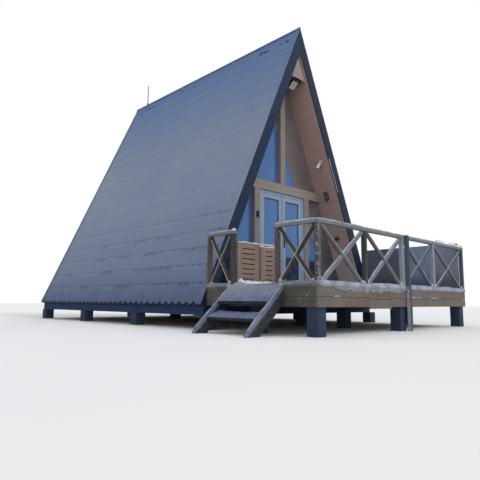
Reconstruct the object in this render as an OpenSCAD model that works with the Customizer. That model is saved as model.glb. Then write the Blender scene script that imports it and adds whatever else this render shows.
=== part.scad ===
// A-frame cabin on piers, with a railed front deck and a side stair.
// Millimetres. X runs to the right, Y to the rear and Z up.
// The origin is on the ground, on the centre line, under the front edge of the roof.

/* [Roof] */
// Length of the roof along the ridge
roof_len = 6300; // [5200:50:8000]
// Width over the outer roof faces at the eaves
roof_w = 5180; // [5000:20:5800]
// Rise of the outer roof faces from the eaves to the peak
roof_rise = 5780; // [5400:20:6600]
// Height of the eaves above the ground
eave_z = 400; // [340:10:500]
// Depth of the tiled covering with its battens
sheet_t = 45; // [35:1:60]
// Depth of the insulated rafter panel
panel_t = 145; // [120:5:200]
// Thickness of the inner boarding
lining_t = 20; // [12:1:30]
// Length of one tile course along the slope
course_len = 350; // [250:10:450]
// Length of the lowest course, which hangs past its batten
first_course = 395; // [300:5:450]
// Height of the step at the lower edge of each course
course_step = 14; // [6:1:20]
// Height of the rafter feet above the lower edge of the tiles
foot_drop = 30; // [10:5:60]
// Thickness of the boards that close the front and rear roof edges
verge_t = 25; // [15:1:40]
// Width of the verge flashing on the tiles
verge_lap = 70; // [40:5:120]
// Thickness of the flashings
flashing_t = 6; // [3:1:10]
// Width of each leg of the ridge cap
cap_leg = 170; // [120:5:260]
// Radius of the roll on top of the ridge cap
cap_roll_r = 24; // [15:1:40]

/* [Base] */
// Width and depth of the piers under the cabin
pier_w = 200; // [150:10:300]
// Rows of piers along the cabin
pier_rows = 4; // [3:1:5]
// Height of the base beams
base_beam_h = 200; // [150:10:250]
// Set-back of the side beams from the foot of the tiles
beam_set = 15; // [5:5:40]
// Width of the cross beams
cross_beam_w = 200; // [150:10:250]

/* [Deck] */
// Width of the deck
deck_w = 4780; // [4500:10:4950]
// Distance of the deck's centre line to the left of the cabin's
deck_shift = 83; // [-100:1:100]
// Depth of the deck in front of the roof edge
deck_d = 2216; // [2050:2:2600]
// Height of the deck surface and the cabin floor above the ground
deck_z = 685; // [640:5:800]
// Thickness of the floor boards
board_t = 28; // [20:1:40]
// Height of the two deck fascia boards together
fascia_h = 272; // [240:2:280]
// Thickness of the deck fascia boards
fascia_t = 40; // [25:1:50]
// Open joint between the two fascia boards
fascia_joint = 4; // [2:1:10]
// Height of the joists
joist_h = 150; // [120:5:160]
// Thickness of the joists
joist_t = 50; // [35:1:60]
// Number of joists
joist_count = 8; // [6:1:10]
// Width of the bearers under the joists
bearer_w = 100; // [80:5:150]
// Width and depth of the piers under the deck
deck_pier_w = 180; // [140:5:220]
// Set-back of the outer deck piers from the deck edge
deck_pier_in = 30; // [10:5:60]
// Distance from the roof edge to the middle row of deck piers
deck_mid_row = 1050; // [900:10:1200]

/* [Railing] */
// Width of the square railing posts
post_w = 65; // [50:1:90]
// Height of the handrail top above the deck
rail_h = 855; // [800:5:1000]
// Width of the handrail
rail_w = 70; // [66:1:120]
// Thickness of the handrail
rail_t = 45; // [30:1:60]
// Distance between the first four front posts
front_bay = 1138; // [1060:2:1180]
// Gap between the rearmost posts and the roof edge
post_gap = 3; // [2:1:6]
// Width of the brace bars
brace_w = 58; // [40:1:70]
// Thickness of the brace bars
brace_t = 30; // [20:1:45]
// Thickness of the sheet behind the right railing
screen_t = 10; // [6:1:16]
// Height of the sheet above the handrail
screen_rise = 94; // [0:2:140]
// Gap between the sheet and the deck
screen_gap = 20; // [10:5:60]

/* [Prop pole] */
// Width of the pole outside the deck
pole_w = 60; // [45:1:80]
// Place of the pole's foot to the right of the centre line
pole_x = -110; // [-200:10:200]
// Lean of the pole towards the left at its top
pole_lean = 25; // [0:5:120]

/* [Stair] */
// Distance of the stair's centre line from the roof edge
stair_y = 1090; // [1050:5:1120]
// Distance of the middle between the two posts beside the stair from the roof edge
gate_y = 1042; // [1000:2:1100]
// Distance between the two posts beside the stair
stair_gap = 900; // [860:1:940]
// Width over the stringers
stair_w = 1080; // [1000:5:1100]
// Distance from the deck to the foot of the stringers' upper edges
stair_run = 765; // [740:5:900]
// Number of treads
tread_count = 2; // [1:1:2]
// Drop from the deck to the first tread
first_drop = 228; // [210:2:240]
// Drop from one tread to the next
rise = 228; // [210:2:230]
// Distance from the deck to the front of the first tread
tread_out = 280; // [280:5:330]
// Distance between the fronts of two treads
going = 205; // [180:5:240]
// Depth of the treads
tread_d = 260; // [200:5:280]
// Thickness of the stringers and treads
stair_t = 42; // [30:1:50]
// Height of the stringer boards, square to their slope
stringer_h = 190; // [160:5:220]
// Length cut off plumb from the pointed toe of the stringers
toe_cut = 40; // [20:5:80]

/* [Front wall] */
// Distance of the front wall behind the roof edge
wall_y = 490; // [400:10:700]
// Depth of the wall's posts and beams
wall_t = 150; // [120:5:180]
// Width of the posts
wall_post_w = 150; // [100:5:180]
// Clear width between the two door posts
door_w = 1410; // [1300:10:1500]
// Clear height from the floor to the beam
door_h = 2015; // [1950:5:2100]
// Height of the beam over the door
beam_h = 190; // [140:5:220]
// Height of the sills beside the door
sill_h = 100; // [60:5:140]
// Thickness of the glass units
glass_t = 24; // [18:1:32]
// Distance of the fixed glass behind the front of the posts
glass_in = 95; // [60:5:100]

/* [Door] */
// Face width of the door frame
frame_w = 60; // [45:1:70]
// Depth of the door frame
frame_d = 70; // [60:1:80]
// Distance of the door frame behind the front of the posts
frame_in = 30; // [10:5:60]
// Thickness of the door leaves
leaf_t = 65; // [55:1:70]
// Width of the leaf stiles
stile_w = 105; // [80:1:120]
// Height of the leaf rails
leaf_rail_h = 90; // [70:1:110]
// Gap round the door leaves
leaf_gap = 5; // [5:1:8]
// Gap between the two leaves where they meet
meet_gap = 14; // [14:1:18]
// Radius of the hinge knuckles
knuckle_r = 8; // [7:0.5:10]
// Height of one hinge knuckle
knuckle_h = 40; // [30:2:60]
// Radius of the hinge pins
pin_r = 4; // [3:0.5:5]
// Distance of the outer hinges from the ends of the leaf
hinge_in = 180; // [140:5:260]
// Height of the door handle above the floor
handle_z = 1020; // [950:5:1100]
// Length of the handle's backplate
handle_plate_h = 220; // [180:5:240]
// Length of the lever
lever_l = 120; // [100:5:130]

/* [Rear wall] */
// Distance of the rear wall behind the rear roof edge
rear_in = 300; // [200:10:500]
// Thickness of the rear wall
rear_t = 150; // [100:5:200]
// Width and height of the rear window
rear_win = 800; // [600:10:840]
// Height of the rear window above the floor
rear_win_z = 900; // [700:10:1100]
// Face width of the rear window's frame
rear_frame_w = 70; // [50:1:90]

/* [Gable] */
// Height of the gable panel under the inner peak of the roof
gable_h = 530; // [300:10:800]
// Distance of the gable panel behind the roof edge
gable_in = 60; // [40:5:120]
// Thickness of the gable panel
gable_t = 20; // [12:1:30]
// Height of the tie board under the gable panel
tie_h = 45; // [30:5:100]
// Thickness of the tie board
tie_t = 40; // [30:1:60]

/* [Lights] */
// Width and height of the square floodlight
flood_w = 200; // [150:5:240]
// Depth of the floodlight
flood_d = 32; // [24:1:40]
// Tilt of the floodlight down from level
flood_tilt = 45; // [0:5:60]
// Distance of the floodlight's pivot behind the middle of the tie board
flood_back = 130; // [110:5:200]
// Distance of the floodlight's pivot under the tie board
flood_drop = 95; // [80:5:200]
// Diameter of the soffit lamp's head
lamp_d = 84; // [60:2:120]
// Length of the soffit lamp's head
lamp_l = 190; // [120:5:220]
// Height of the soffit lamp's foot above the eaves
lamp_z = 3130; // [2900:10:3200]
// Distance of the soffit lamp behind the roof edge
lamp_y = 215; // [150:5:340]
// Turn of the soffit lamp down the slope
lamp_tilt = 26; // [0:2:60]
// Distance of the lantern behind the roof edge
lantern_y = 274; // [220:2:340]
// Width of the lantern's cap over its corners
lantern_w = 100; // [60:2:120]
// Height of the lantern above the eaves
lantern_z = 2420; // [2300:5:2500]
// Length of the lantern along the slope
lantern_h = 236; // [150:2:260]
// Gap between the lantern's cap and its back plate
lantern_gap = 4; // [4:1:30]
// Distance of the switch box behind the roof edge
box_y = 310; // [240:5:340]
// Width of the switch box on the soffit
box_w = 90; // [60:5:120]
// Length of the switch box along the slope
box_h = 72; // [50:2:120]
// Height of the switch box above the eaves
box_z = 1500; // [1300:10:1600]
// Depth of the switch box
box_d = 50; // [40:5:80]
// Height of the key box above the floor
key_box_z = 1480; // [1300:5:1700]
// Width of the key box
key_box_w = 50; // [40:5:80]
// Length of the key box
key_box_h = 110; // [80:5:140]

/* [Slatted screens] */
// Height of the left screen
slat_h = 780; // [700:5:850]
// Step down to the top of the right screen
slat_drop = 45; // [20:5:80]
// Width of the left screen
slat_left_w = 545; // [440:5:560]
// Width of the right screen
slat_right_w = 430; // [380:5:440]
// Distance of the screens from the centre line
slat_x = 850; // [820:5:900]
// Number of slats in each screen
slat_count = 7; // [6:1:10]
// Gap between two slats
slat_gap = 16; // [8:1:24]
// Width of the stiles
slat_stile_w = 120; // [60:5:130]
// Height of the top and bottom rails
slat_rail_h = 60; // [40:1:80]
// Thickness of the screens
slat_t = 40; // [30:1:60]
// Thickness of the board that caps both screens
slat_cap_t = 30; // [20:1:40]

/* [Mast] */
// Distance of the mast in front of the rear roof edge
mast_in = 560; // [300:10:900]
// Height of the mast above its foot
mast_h = 560; // [300:10:800]
// Radius of the mast
mast_r = 11; // [8:1:16]

/* [Hidden] */

// Roof geometry, with depths measured square to the outer roof face
half_w = roof_w / 2;
slope = atan2(roof_rise, half_w);
slope_len = norm([half_w, roof_rise]);
panel_in = sheet_t + panel_t;
roof_t = panel_in + lining_t;
seat_gap = 0.3;
room_in = roof_t + seat_gap;
foot_z = eave_z + foot_drop;
function roof_x(z, d) = half_w * (1 - (z - eave_z) / roof_rise) - d / sin(slope);
function peak_z(d) = eave_z + roof_rise - d / cos(slope);
// A point on the right slope, s along it from the eaves and d deep
function slope_pt(s, d) = [
    half_w - s * cos(slope) - d * sin(slope),
    eave_z + s * sin(slope) - d * cos(slope)
];
body_y = verge_t;
body_end = roof_len - verge_t;

// Heights of the base and the deck
beam_z = foot_z - base_beam_h;
frame_top = deck_z - board_t;
joist_z = frame_top - joist_h;
fascia_z = frame_top - fascia_h;
deck_x = deck_w / 2;
beam_out = roof_x(foot_z, sheet_t) - beam_set;
beam_in = roof_x(foot_z, room_in);
gable_low = peak_z(room_in) - gable_h;

// Railing places
rail_top = deck_z + rail_h;
post_top = rail_top - rail_t;
post_x = deck_x - post_w / 2;
post_y = -deck_d + post_w / 2;
rear_post_y = -post_gap - post_w / 2;
stair_post_y = [-gate_y - stair_gap / 2, -gate_y + stair_gap / 2];
mid_post_y = (post_y + rear_post_y) / 2;
front_post_x = [-post_x, -post_x + front_bay, -post_x + 2 * front_bay, -post_x + 3 * front_bay, post_x];

// Front wall places
wall_back = wall_y + wall_t;
beam_under = deck_z + door_h;
beam_top = beam_under + beam_h;
sill_top = frame_top + sill_h;
door_half = door_w / 2;
post_out = door_half + wall_post_w;
frame_y = wall_y + frame_in;
frame_back = frame_y + frame_d;
leaf_out = door_half - frame_w - leaf_gap;
leaf_low = frame_top + frame_w + leaf_gap;
leaf_high = beam_under - frame_w - leaf_gap;
leaf_y = frame_back - leaf_t;
hinge_x = leaf_out + leaf_gap / 2;
hinge_y = frame_back + knuckle_r + 1;
hinge_plate_t = 5;
hinge_plate_w = 38;
hinge_zs = [leaf_low + hinge_in, (leaf_low + leaf_high) / 2, leaf_high - hinge_in];
pin_gap = 0.1;
rear_face = roof_len - rear_in;
rear_back = rear_face - rear_t;

// Extrudes an outline drawn in X and Z from y0 to y1
module along_y(y0, y1) {
    translate([0, y1, 0]) rotate([90, 0, 0]) linear_extrude(y1 - y0) children();
}

// Extrudes an outline drawn in Y and Z from x0 to x1
module along_x(x0, x1) {
    translate([x0, 0, 0]) rotate([90, 0, 90]) linear_extrude(x1 - x0) children();
}

// A box between two corners
module block(low, high) {
    translate(low) cube(high - low);
}

module left_of() {
    mirror([1, 0, 0]) children();
}

// One layer of the right roof slope between two depths, from height z to the ridge
module roof_layer(z, outer, inner) {
    polygon([[roof_x(z, outer), z], [0, peak_z(outer)], [0, peak_z(inner)], [roof_x(z, inner), z]]);
}

// The triangle inside the roof boarding above height z
module inner_gable(z) {
    half = roof_x(z, room_in);
    polygon([[-half, z], [half, z], [0, peak_z(room_in)]]);
}

// Outline of the tiled covering: each course stands proud of the one below it,
// and the last one that starts below the ridge cap runs on to the ridge
module course_outline() {
    count = ceil((slope_len - cap_leg - first_course) / course_len);
    steps = [for (i = [0 : count - 1]) each [
        slope_pt(first_course + i * course_len, 0),
        slope_pt(first_course + (i + 1) * course_len, course_step)
    ]];
    past = slope_len + course_len;
    intersection() {
        polygon(concat(
            [slope_pt(0, 0), slope_pt(first_course, course_step)], steps,
            [slope_pt(past, course_step), slope_pt(past, sheet_t), slope_pt(-sheet_t, sheet_t)]
        ));
        translate([0, eave_z]) square([half_w, roof_rise]);
    }
}

// Places of the rows of piers under the cabin
function pier_ys() = [for (i = [0 : pier_rows - 1]) i * (roof_len - pier_w / 2) / (pier_rows - 1)];

module cabin_piers() {
    rim = (beam_in + beam_out) / 2;
    half = pier_w / 2;
    color("dimgray")
    for (x = [-rim, 0, rim], y = pier_ys())
        block([x - half, y - half, 0], [x + half, y + half, beam_z]);
}

module side_beams() {
    color("saddlebrown")
    for (side = [0, 1]) mirror([side, 0, 0])
        block([beam_in, body_y, beam_z], [beam_out, body_end, foot_z]);
}

// One beam on each row of piers, the outer ones flush with the ends of the cabin
module cross_beams() {
    half = cross_beam_w / 2;
    color("saddlebrown")
    for (row = pier_ys()) {
        y = min(max(row, half), roof_len - half);
        block([-beam_in, y - half, beam_z], [beam_in, y + half, foot_z]);
    }
}

module floor_panel() {
    color("burlywood")
    along_y(0, roof_len)
        polygon([
            [-roof_x(foot_z, room_in), foot_z], [roof_x(foot_z, room_in), foot_z],
            [roof_x(frame_top, room_in), frame_top], [-roof_x(frame_top, room_in), frame_top]
        ]);
}

// Strip of floor between the roof slopes
module inner_floor(y0, y1) {
    along_y(y0, y1)
        polygon([
            [-roof_x(frame_top, room_in), frame_top], [roof_x(frame_top, room_in), frame_top],
            [roof_x(deck_z, room_in), deck_z], [-roof_x(deck_z, room_in), deck_z]
        ]);
}

// Strip of floor between the door posts
module doorway_floor(y0, y1) {
    block([-door_half, y0, frame_top], [door_half, y1, deck_z]);
}

module cabin_floor() {
    color("peru") union() {
        inner_floor(wall_back, rear_back);
        doorway_floor(frame_back, wall_back);
    }
}

module roof_panel_right() {
    color("tan") along_y(body_y, body_end) roof_layer(foot_z, sheet_t, panel_in);
}

module roof_panel_left() {
    left_of() roof_panel_right();
}

module roof_sheet_right() {
    color("slategray") along_y(body_y, body_end) course_outline();
}

module roof_sheet_left() {
    left_of() roof_sheet_right();
}

module lining_right() {
    color("sienna") along_y(body_y, body_end) roof_layer(foot_z, panel_in, roof_t);
}

module lining_left() {
    left_of() lining_right();
}

// Folded cap over the ridge with a round roll on top
module ridge_cap() {
    low = slope_pt(slope_len - cap_leg, 0);
    low_out = slope_pt(slope_len - cap_leg, -flashing_t);
    color("slategray")
    along_y(0, roof_len) difference() {
        union() {
            polygon([low, low_out, [0, peak_z(-flashing_t)], [-low_out[0], low_out[1]], [-low[0], low[1]]]);
            translate([0, peak_z(-flashing_t)]) circle(r = cap_roll_r, $fn = 32);
        }
        polygon([[-half_w, eave_z], [half_w, eave_z], [0, peak_z(0)]]);
    }
}

// Board over the end of the right slope, with its flashing lapped on the tiles
module verge() {
    lap_top = slope_len - cap_leg;
    union() {
        along_y(0, verge_t) roof_layer(eave_z, 0, roof_t);
        along_y(0, verge_lap)
            polygon([
                slope_pt(0, 0), slope_pt(0, -flashing_t),
                slope_pt(lap_top, -flashing_t), slope_pt(lap_top, 0)
            ]);
    }
}

module front_verge_right() {
    color("midnightblue") verge();
}

module front_verge_left() {
    left_of() front_verge_right();
}

module rear_verge_right() {
    color("midnightblue") translate([0, roof_len, 0]) mirror([0, 1, 0]) verge();
}

module rear_verge_left() {
    left_of() rear_verge_right();
}

module front_posts() {
    color("tan")
    for (side = [0, 1]) mirror([side, 0, 0])
        block([door_half, wall_y, frame_top], [post_out, wall_back, beam_under]);
}

module front_beam() {
    color("tan")
    along_y(wall_y, wall_back) intersection() {
        inner_gable(beam_under);
        translate([-half_w, beam_under]) square([roof_w, beam_h]);
    }
}

module king_post() {
    color("tan")
    along_y(wall_y, wall_back) intersection() {
        inner_gable(beam_top);
        translate([-wall_post_w / 2, beam_top]) square([wall_post_w, roof_rise]);
    }
}

module front_sills() {
    color("tan")
    along_y(wall_y, wall_back)
    for (side = [0, 1]) mirror([side, 0])
        polygon([
            [post_out, frame_top], [roof_x(frame_top, room_in), frame_top],
            [roof_x(sill_top, room_in), sill_top], [post_out, sill_top]
        ]);
}

module upper_lights() {
    y = wall_y + glass_in;
    color("lightskyblue", 0.5)
    along_y(y, y + glass_t) difference() {
        inner_gable(beam_top);
        translate([-wall_post_w / 2, 0]) square([wall_post_w, peak_z(0)]);
    }
}

module side_lights() {
    y = wall_y + glass_in;
    color("lightskyblue", 0.5)
    along_y(y, y + glass_t)
    for (side = [0, 1]) mirror([side, 0])
        polygon([
            [post_out, sill_top], [roof_x(sill_top, room_in), sill_top],
            [roof_x(beam_under, room_in), beam_under], [post_out, beam_under]
        ]);
}

module door_frame() {
    color("white")
    along_y(frame_y, frame_back) difference() {
        translate([-door_half, frame_top]) square([door_w, beam_under - frame_top]);
        translate([-door_half + frame_w, frame_top + frame_w])
            square([door_w - 2 * frame_w, beam_under - frame_top - 2 * frame_w]);
    }
}

// Knuckle and plate on the frame, with the pin that carries the leaf
module frame_hinge(z) {
    translate([hinge_x, hinge_y, z - knuckle_h]) {
        cylinder(r = knuckle_r, h = knuckle_h, $fn = 32);
        cylinder(r = pin_r, h = 2 * knuckle_h + seat_gap, $fn = 32);
        translate([0, frame_back - hinge_y, 0]) cube([hinge_plate_w, hinge_plate_t, knuckle_h]);
    }
}

// Knuckle and plate on the leaf, bored for the pin
module leaf_hinge(z) {
    translate([hinge_x, hinge_y, z + seat_gap]) difference() {
        union() {
            cylinder(r = knuckle_r, h = knuckle_h, $fn = 32);
            translate([-hinge_plate_w, frame_back - hinge_y, 0])
                cube([hinge_plate_w, hinge_plate_t, knuckle_h]);
        }
        translate([0, 0, -1]) cylinder(r = pin_r + pin_gap, h = knuckle_h + 2, $fn = 32);
    }
}

module door_hinges() {
    color("silver")
    for (side = [0, 1], z = hinge_zs) mirror([side, 0, 0]) frame_hinge(z);
}

module door_leaf_right() {
    inner = meet_gap / 2;
    color("white") union() {
        along_y(leaf_y, frame_back) difference() {
            translate([inner, leaf_low]) square([leaf_out - inner, leaf_high - leaf_low]);
            translate([inner + stile_w, leaf_low + leaf_rail_h])
                square([leaf_out - inner - 2 * stile_w, leaf_high - leaf_low - 2 * leaf_rail_h]);
        }
        for (z = hinge_zs) leaf_hinge(z);
    }
}

module door_leaf_left() {
    left_of() door_leaf_right();
}

module door_glass_right() {
    y = leaf_y + (leaf_t - glass_t) / 2;
    color("lightskyblue", 0.5)
    block([meet_gap / 2 + stile_w, y, leaf_low + leaf_rail_h],
        [leaf_out - stile_w, y + glass_t, leaf_high - leaf_rail_h]);
}

module door_glass_left() {
    left_of() door_glass_right();
}

// Backplate with a lever that points away from the meeting stiles
module lever_handle() {
    plate_w = 32;
    plate_t = 9;
    stem = 45;
    translate([-plate_w / 2, -plate_t, -handle_plate_h * 0.65]) cube([plate_w, plate_t, handle_plate_h]);
    rotate([90, 0, 0]) cylinder(r = 10, h = stem, $fn = 32);
    translate([-10, -stem - 8, -10]) cube([lever_l, 16, 20]);
}

module door_handle() {
    x = meet_gap / 2 + stile_w / 2;
    z = deck_z + handle_z;
    color("black") {
        translate([x, leaf_y, z]) lever_handle();
        translate([x, frame_back, z]) mirror([0, 1, 0]) lever_handle();
    }
}

module tie_board() {
    low = gable_low - tie_h;
    color("tan")
    along_y(gable_in, gable_in + tie_t) intersection() {
        inner_gable(low);
        translate([-half_w, low]) square([roof_w, tie_h]);
    }
}

module gable_panel() {
    color("wheat")
    along_y(gable_in, gable_in + gable_t) inner_gable(gable_low);
}

// Square floodlight on a stirrup under the tie board, tilted down towards the deck
module floodlight() {
    arm_w = 24;
    arm_t = 4;
    half = flood_w / 2 + arm_t;
    reach = norm([flood_back, flood_drop]);
    color("black")
    translate([0, gable_in + tie_t / 2, gable_low - tie_h]) {
        translate([-half, -tie_t / 2, -arm_t]) cube([2 * half, tie_t, arm_t]);
        for (side = [0, 1]) mirror([side, 0, 0])
            translate([half - arm_t, 0, 0]) rotate([-atan2(flood_drop, flood_back), 0, 0])
                translate([0, 0, -arm_w]) cube([arm_t, reach, arm_w]);
        translate([0, flood_back, -flood_drop]) rotate([flood_tilt, 0, 0])
            translate([-flood_w / 2, -flood_d / 2, -flood_w / 2]) cube([flood_w, flood_d, flood_w]);
    }
}

// Places a fitting on the inner face of the right slope: its z axis points out of the face
// and its x axis up the slope
module on_soffit(y, z) {
    translate([roof_x(eave_z + z, room_in), y, eave_z + z])
        rotate([0, slope - 180, 0]) children();
}

// Spotlight with a round foot, a neck and a head turned down the slope
module soffit_lamp() {
    foot_h = 20;
    neck_r = 14;
    head_at = 45;
    rim_h = 14;
    rim_t = 4;
    color("white")
    on_soffit(lamp_y, lamp_z) {
        cylinder(r = lamp_d / 2, h = foot_h, $fn = 48);
        translate([0, 0, foot_h / 2]) rotate([0, -lamp_tilt, 0]) {
            cylinder(r = neck_r, h = head_at + rim_t, $fn = 32);
            translate([0, 0, head_at]) {
                cylinder(r = lamp_d / 2 - rim_t, h = lamp_l - rim_h, $fn = 48);
                translate([0, 0, lamp_l - rim_h]) cylinder(r = lamp_d / 2, h = rim_h, $fn = 48);
            }
        }
    }
}

// Six-sided lantern lying along the slope on a back plate and an arm
module lantern() {
    plate_t = 8;
    plate_w = 60;
    arm_w = 16;
    cap_r = lantern_w / 2;
    tip_r = 0.25 * cap_r;
    low_r = 0.7 * cap_r;
    high_r = 0.9 * cap_r;
    cap_h = 0.2 * lantern_h;
    body_h = lantern_h - 2 * cap_h;
    axis_z = plate_t + lantern_gap + cap_r;
    color("black")
    on_soffit(lantern_y, lantern_z) {
        translate([-body_h / 2, -plate_w / 2, 0]) cube([body_h, plate_w, plate_t]);
        translate([body_h / 4, -arm_w / 2, 0]) cube([arm_w, arm_w, axis_z]);
        translate([-lantern_h / 2, 0, axis_z]) rotate([0, 90, 0]) {
            cylinder(r1 = tip_r, r2 = low_r, h = cap_h, $fn = 6);
            translate([0, 0, cap_h]) cylinder(r1 = low_r, r2 = high_r, h = body_h, $fn = 6);
            translate([0, 0, cap_h + body_h]) cylinder(r1 = cap_r, r2 = tip_r, h = cap_h, $fn = 6);
        }
    }
}

module switch_box() {
    color("black")
    on_soffit(box_y, box_z) translate([-box_h / 2, -box_w / 2, 0]) cube([box_h, box_w, box_d]);
}

module key_box() {
    depth = 45;
    x = -door_half - wall_post_w / 2;
    z = deck_z + key_box_z;
    color("black")
    block([x - key_box_w / 2, wall_y - depth, z - key_box_h / 2],
        [x + key_box_w / 2, wall_y, z + key_box_h / 2]);
}

module rear_wall() {
    z = deck_z + rear_win_z;
    color("tan")
    along_y(rear_back, rear_face) difference() {
        inner_gable(frame_top);
        translate([-rear_win / 2, z]) square([rear_win, rear_win]);
    }
}

module rear_window() {
    z = deck_z + rear_win_z;
    color("white")
    along_y(rear_face - frame_d - frame_in, rear_face - frame_in) difference() {
        translate([-rear_win / 2, z]) square([rear_win, rear_win]);
        translate([-rear_win / 2 + rear_frame_w, z + rear_frame_w])
            square([rear_win - 2 * rear_frame_w, rear_win - 2 * rear_frame_w]);
    }
}

module rear_glass() {
    z = deck_z + rear_win_z + rear_frame_w;
    half = rear_win / 2 - rear_frame_w;
    y = rear_face - frame_in - frame_d / 2;
    color("lightskyblue", 0.5)
    block([-half, y - glass_t / 2, z], [half, y + glass_t / 2, z + 2 * half]);
}

// Moves a piece drawn about the deck's centre line to its place
module on_deck() {
    translate([-deck_shift, 0, 0]) children();
}

// Rows of deck piers: under the front edge and under the middle
function deck_rows() = [-deck_d + fascia_t + deck_pier_w / 2, -deck_mid_row];

module deck_piers() {
    rim = deck_x - deck_pier_in - deck_pier_w / 2;
    half = deck_pier_w / 2;
    color("dimgray") on_deck()
    for (x = [-rim, front_post_x[2], rim], y = deck_rows())
        block([x - half, y - half, 0], [x + half, y + half, fascia_z]);
}

module deck_bearers() {
    reach = deck_x - fascia_t;
    half = bearer_w / 2;
    color("saddlebrown") on_deck()
    for (y = deck_rows())
        block([-reach, y - half, fascia_z], [reach, y + half, joist_z]);
}

// Joists from the front fascia to the ledger, and the ledger on the cabin's edge
module deck_joists() {
    first = -deck_x + fascia_t + joist_t / 2;
    step = -2 * first / (joist_count - 1);
    half = joist_t / 2;
    color("saddlebrown") on_deck() union() {
        for (i = [0 : joist_count - 1]) {
            x = first + i * step;
            block([x - half, -deck_d + fascia_t, joist_z], [x + half, 0, frame_top]);
        }
        block([first, -joist_t, joist_z], [-first, 0, frame_top]);
    }
}

// Two boards on edge with an open joint between them
module fascia_pair(low, size) {
    board_h = (fascia_h - fascia_joint) / 2;
    for (z = [0, board_h + fascia_joint])
        translate([low[0], low[1], fascia_z + z]) cube([size[0], size[1], board_h]);
}

module deck_fascia_front() {
    color("peru") on_deck() fascia_pair([-deck_x, -deck_d], [deck_w, fascia_t]);
}

module deck_fascia_sides() {
    color("peru") on_deck()
    for (side = [0, 1]) mirror([side, 0, 0])
        fascia_pair([deck_x - fascia_t, -deck_d + fascia_t], [fascia_t, deck_d - fascia_t]);
}

module deck_floor() {
    color("burlywood") union() {
        on_deck() block([-deck_x, -deck_d, frame_top], [deck_x, 0, deck_z]);
        inner_floor(0, wall_y);
        doorway_floor(wall_y, frame_y);
    }
}

module rail_post(x, y) {
    half = post_w / 2;
    block([x - half, y - half, deck_z], [x + half, y + half, post_top]);
}

module rail_posts() {
    color("dimgray") on_deck() {
        for (x = front_post_x) rail_post(x, post_y);
        for (y = concat(stair_post_y, [rear_post_y])) rail_post(-post_x, y);
        for (y = [mid_post_y, rear_post_y]) rail_post(post_x, y);
    }
}

module handrail_front() {
    reach = post_x + rail_w / 2;
    half = rail_w / 2;
    color("gray") on_deck()
    block([-reach, post_y - half, post_top], [reach, post_y + half, rail_top]);
}

// One handrail along a side, from y0 to y1
module side_rail(x, y0, y1) {
    half = rail_w / 2;
    block([x - half, y0, post_top], [x + half, y1, rail_top]);
}

module handrail_sides() {
    front = post_y + rail_w / 2;
    half = post_w / 2;
    color("gray") on_deck() {
        side_rail(-post_x, front, stair_post_y[0] + half);
        side_rail(-post_x, stair_post_y[1] - half, -post_gap);
        side_rail(post_x + rail_w / 2 - half, front, -post_gap);
    }
}

// Outline of two crossed bars cut to fit a bay
module cross_outline(wide, high) {
    lean = atan2(high, wide);
    reach = norm([wide, high]);
    intersection() {
        square([wide, high]);
        for (turn = [lean, -lean])
            translate([wide / 2, high / 2]) rotate(turn) square([reach, brace_w], center = true);
    }
}

module braces_front() {
    high = post_top - deck_z;
    half = brace_t / 2;
    color("dimgray") on_deck()
    for (i = [0 : 3]) {
        start = front_post_x[i] + post_w / 2;
        wide = front_post_x[i + 1] - front_post_x[i] - post_w;
        along_y(post_y - half, post_y + half)
            translate([start, deck_z]) cross_outline(wide, high);
    }
}

module side_brace(x, y0, y1) {
    wide = y1 - y0 - post_w;
    half = brace_t / 2;
    along_x(x - half, x + half)
        translate([y0 + post_w / 2, deck_z]) cross_outline(wide, post_top - deck_z);
}

module braces_sides() {
    color("dimgray") on_deck() {
        side_brace(-post_x, post_y, stair_post_y[0]);
        side_brace(-post_x, stair_post_y[1], rear_post_y);
        side_brace(post_x, post_y, mid_post_y);
        side_brace(post_x, mid_post_y, rear_post_y);
    }
}

// The sheet lies against the right posts and the right handrail
module wind_screen() {
    x = post_x - post_w / 2;
    color("lightgray") on_deck()
    block([x - screen_t, post_y + rail_w / 2, deck_z + screen_gap], [x, -post_gap, rail_top + screen_rise]);
}

// Frame with level slats, in X and Z
module slat_panel(wide, high) {
    one = (high - 2 * slat_rail_h - (slat_count + 1) * slat_gap) / slat_count;
    difference() {
        cube([wide, slat_t, high]);
        for (i = [0 : slat_count])
            translate([slat_stile_w, -1, slat_rail_h + i * (one + slat_gap)])
                cube([wide - 2 * slat_stile_w, slat_t + 2, slat_gap]);
    }
}

module slat_screens() {
    back = -post_gap - slat_t;
    middle = -slat_x - slat_right_w;
    left = middle - slat_left_w;
    top = deck_z + slat_h;
    color("sandybrown") {
        translate([middle, back - slat_t, deck_z]) slat_panel(slat_right_w, slat_h - slat_drop);
        translate([left, back, deck_z]) slat_panel(slat_left_w, slat_h - slat_cap_t);
        block([left, back, top - slat_cap_t], [-slat_x, back + slat_t, top]);
    }
}

// Sizes shared by the stringers and the treads
stair_slope = atan2(deck_z, stair_run);
stair_low = -stair_y - stair_w / 2;
stair_high = -stair_y + stair_w / 2;

// Side outline of a stringer: X runs out from the deck, Y is the height
module stringer_outline() {
    drop = stringer_h / cos(stair_slope);
    low = deck_z - drop;
    intersection() {
        polygon([[0, deck_z], [stair_run, 0], [low / tan(stair_slope), 0], [0, low]]);
        square([stair_run - toe_cut, deck_z]);
    }
}

module stair_stringers() {
    color("dimgray") on_deck()
    for (y = [stair_low, stair_high - stair_t])
        along_y(y, y + stair_t) mirror([1, 0]) translate([deck_x, 0]) stringer_outline();
}

module stair_treads() {
    color("gray") on_deck()
    for (i = [0 : tread_count - 1]) {
        front = -deck_x - tread_out - i * going;
        top = deck_z - first_drop - i * rise;
        block([front, stair_low + stair_t, top - stair_t], [front + tread_d, stair_high - stair_t, top]);
    }
}

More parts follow.
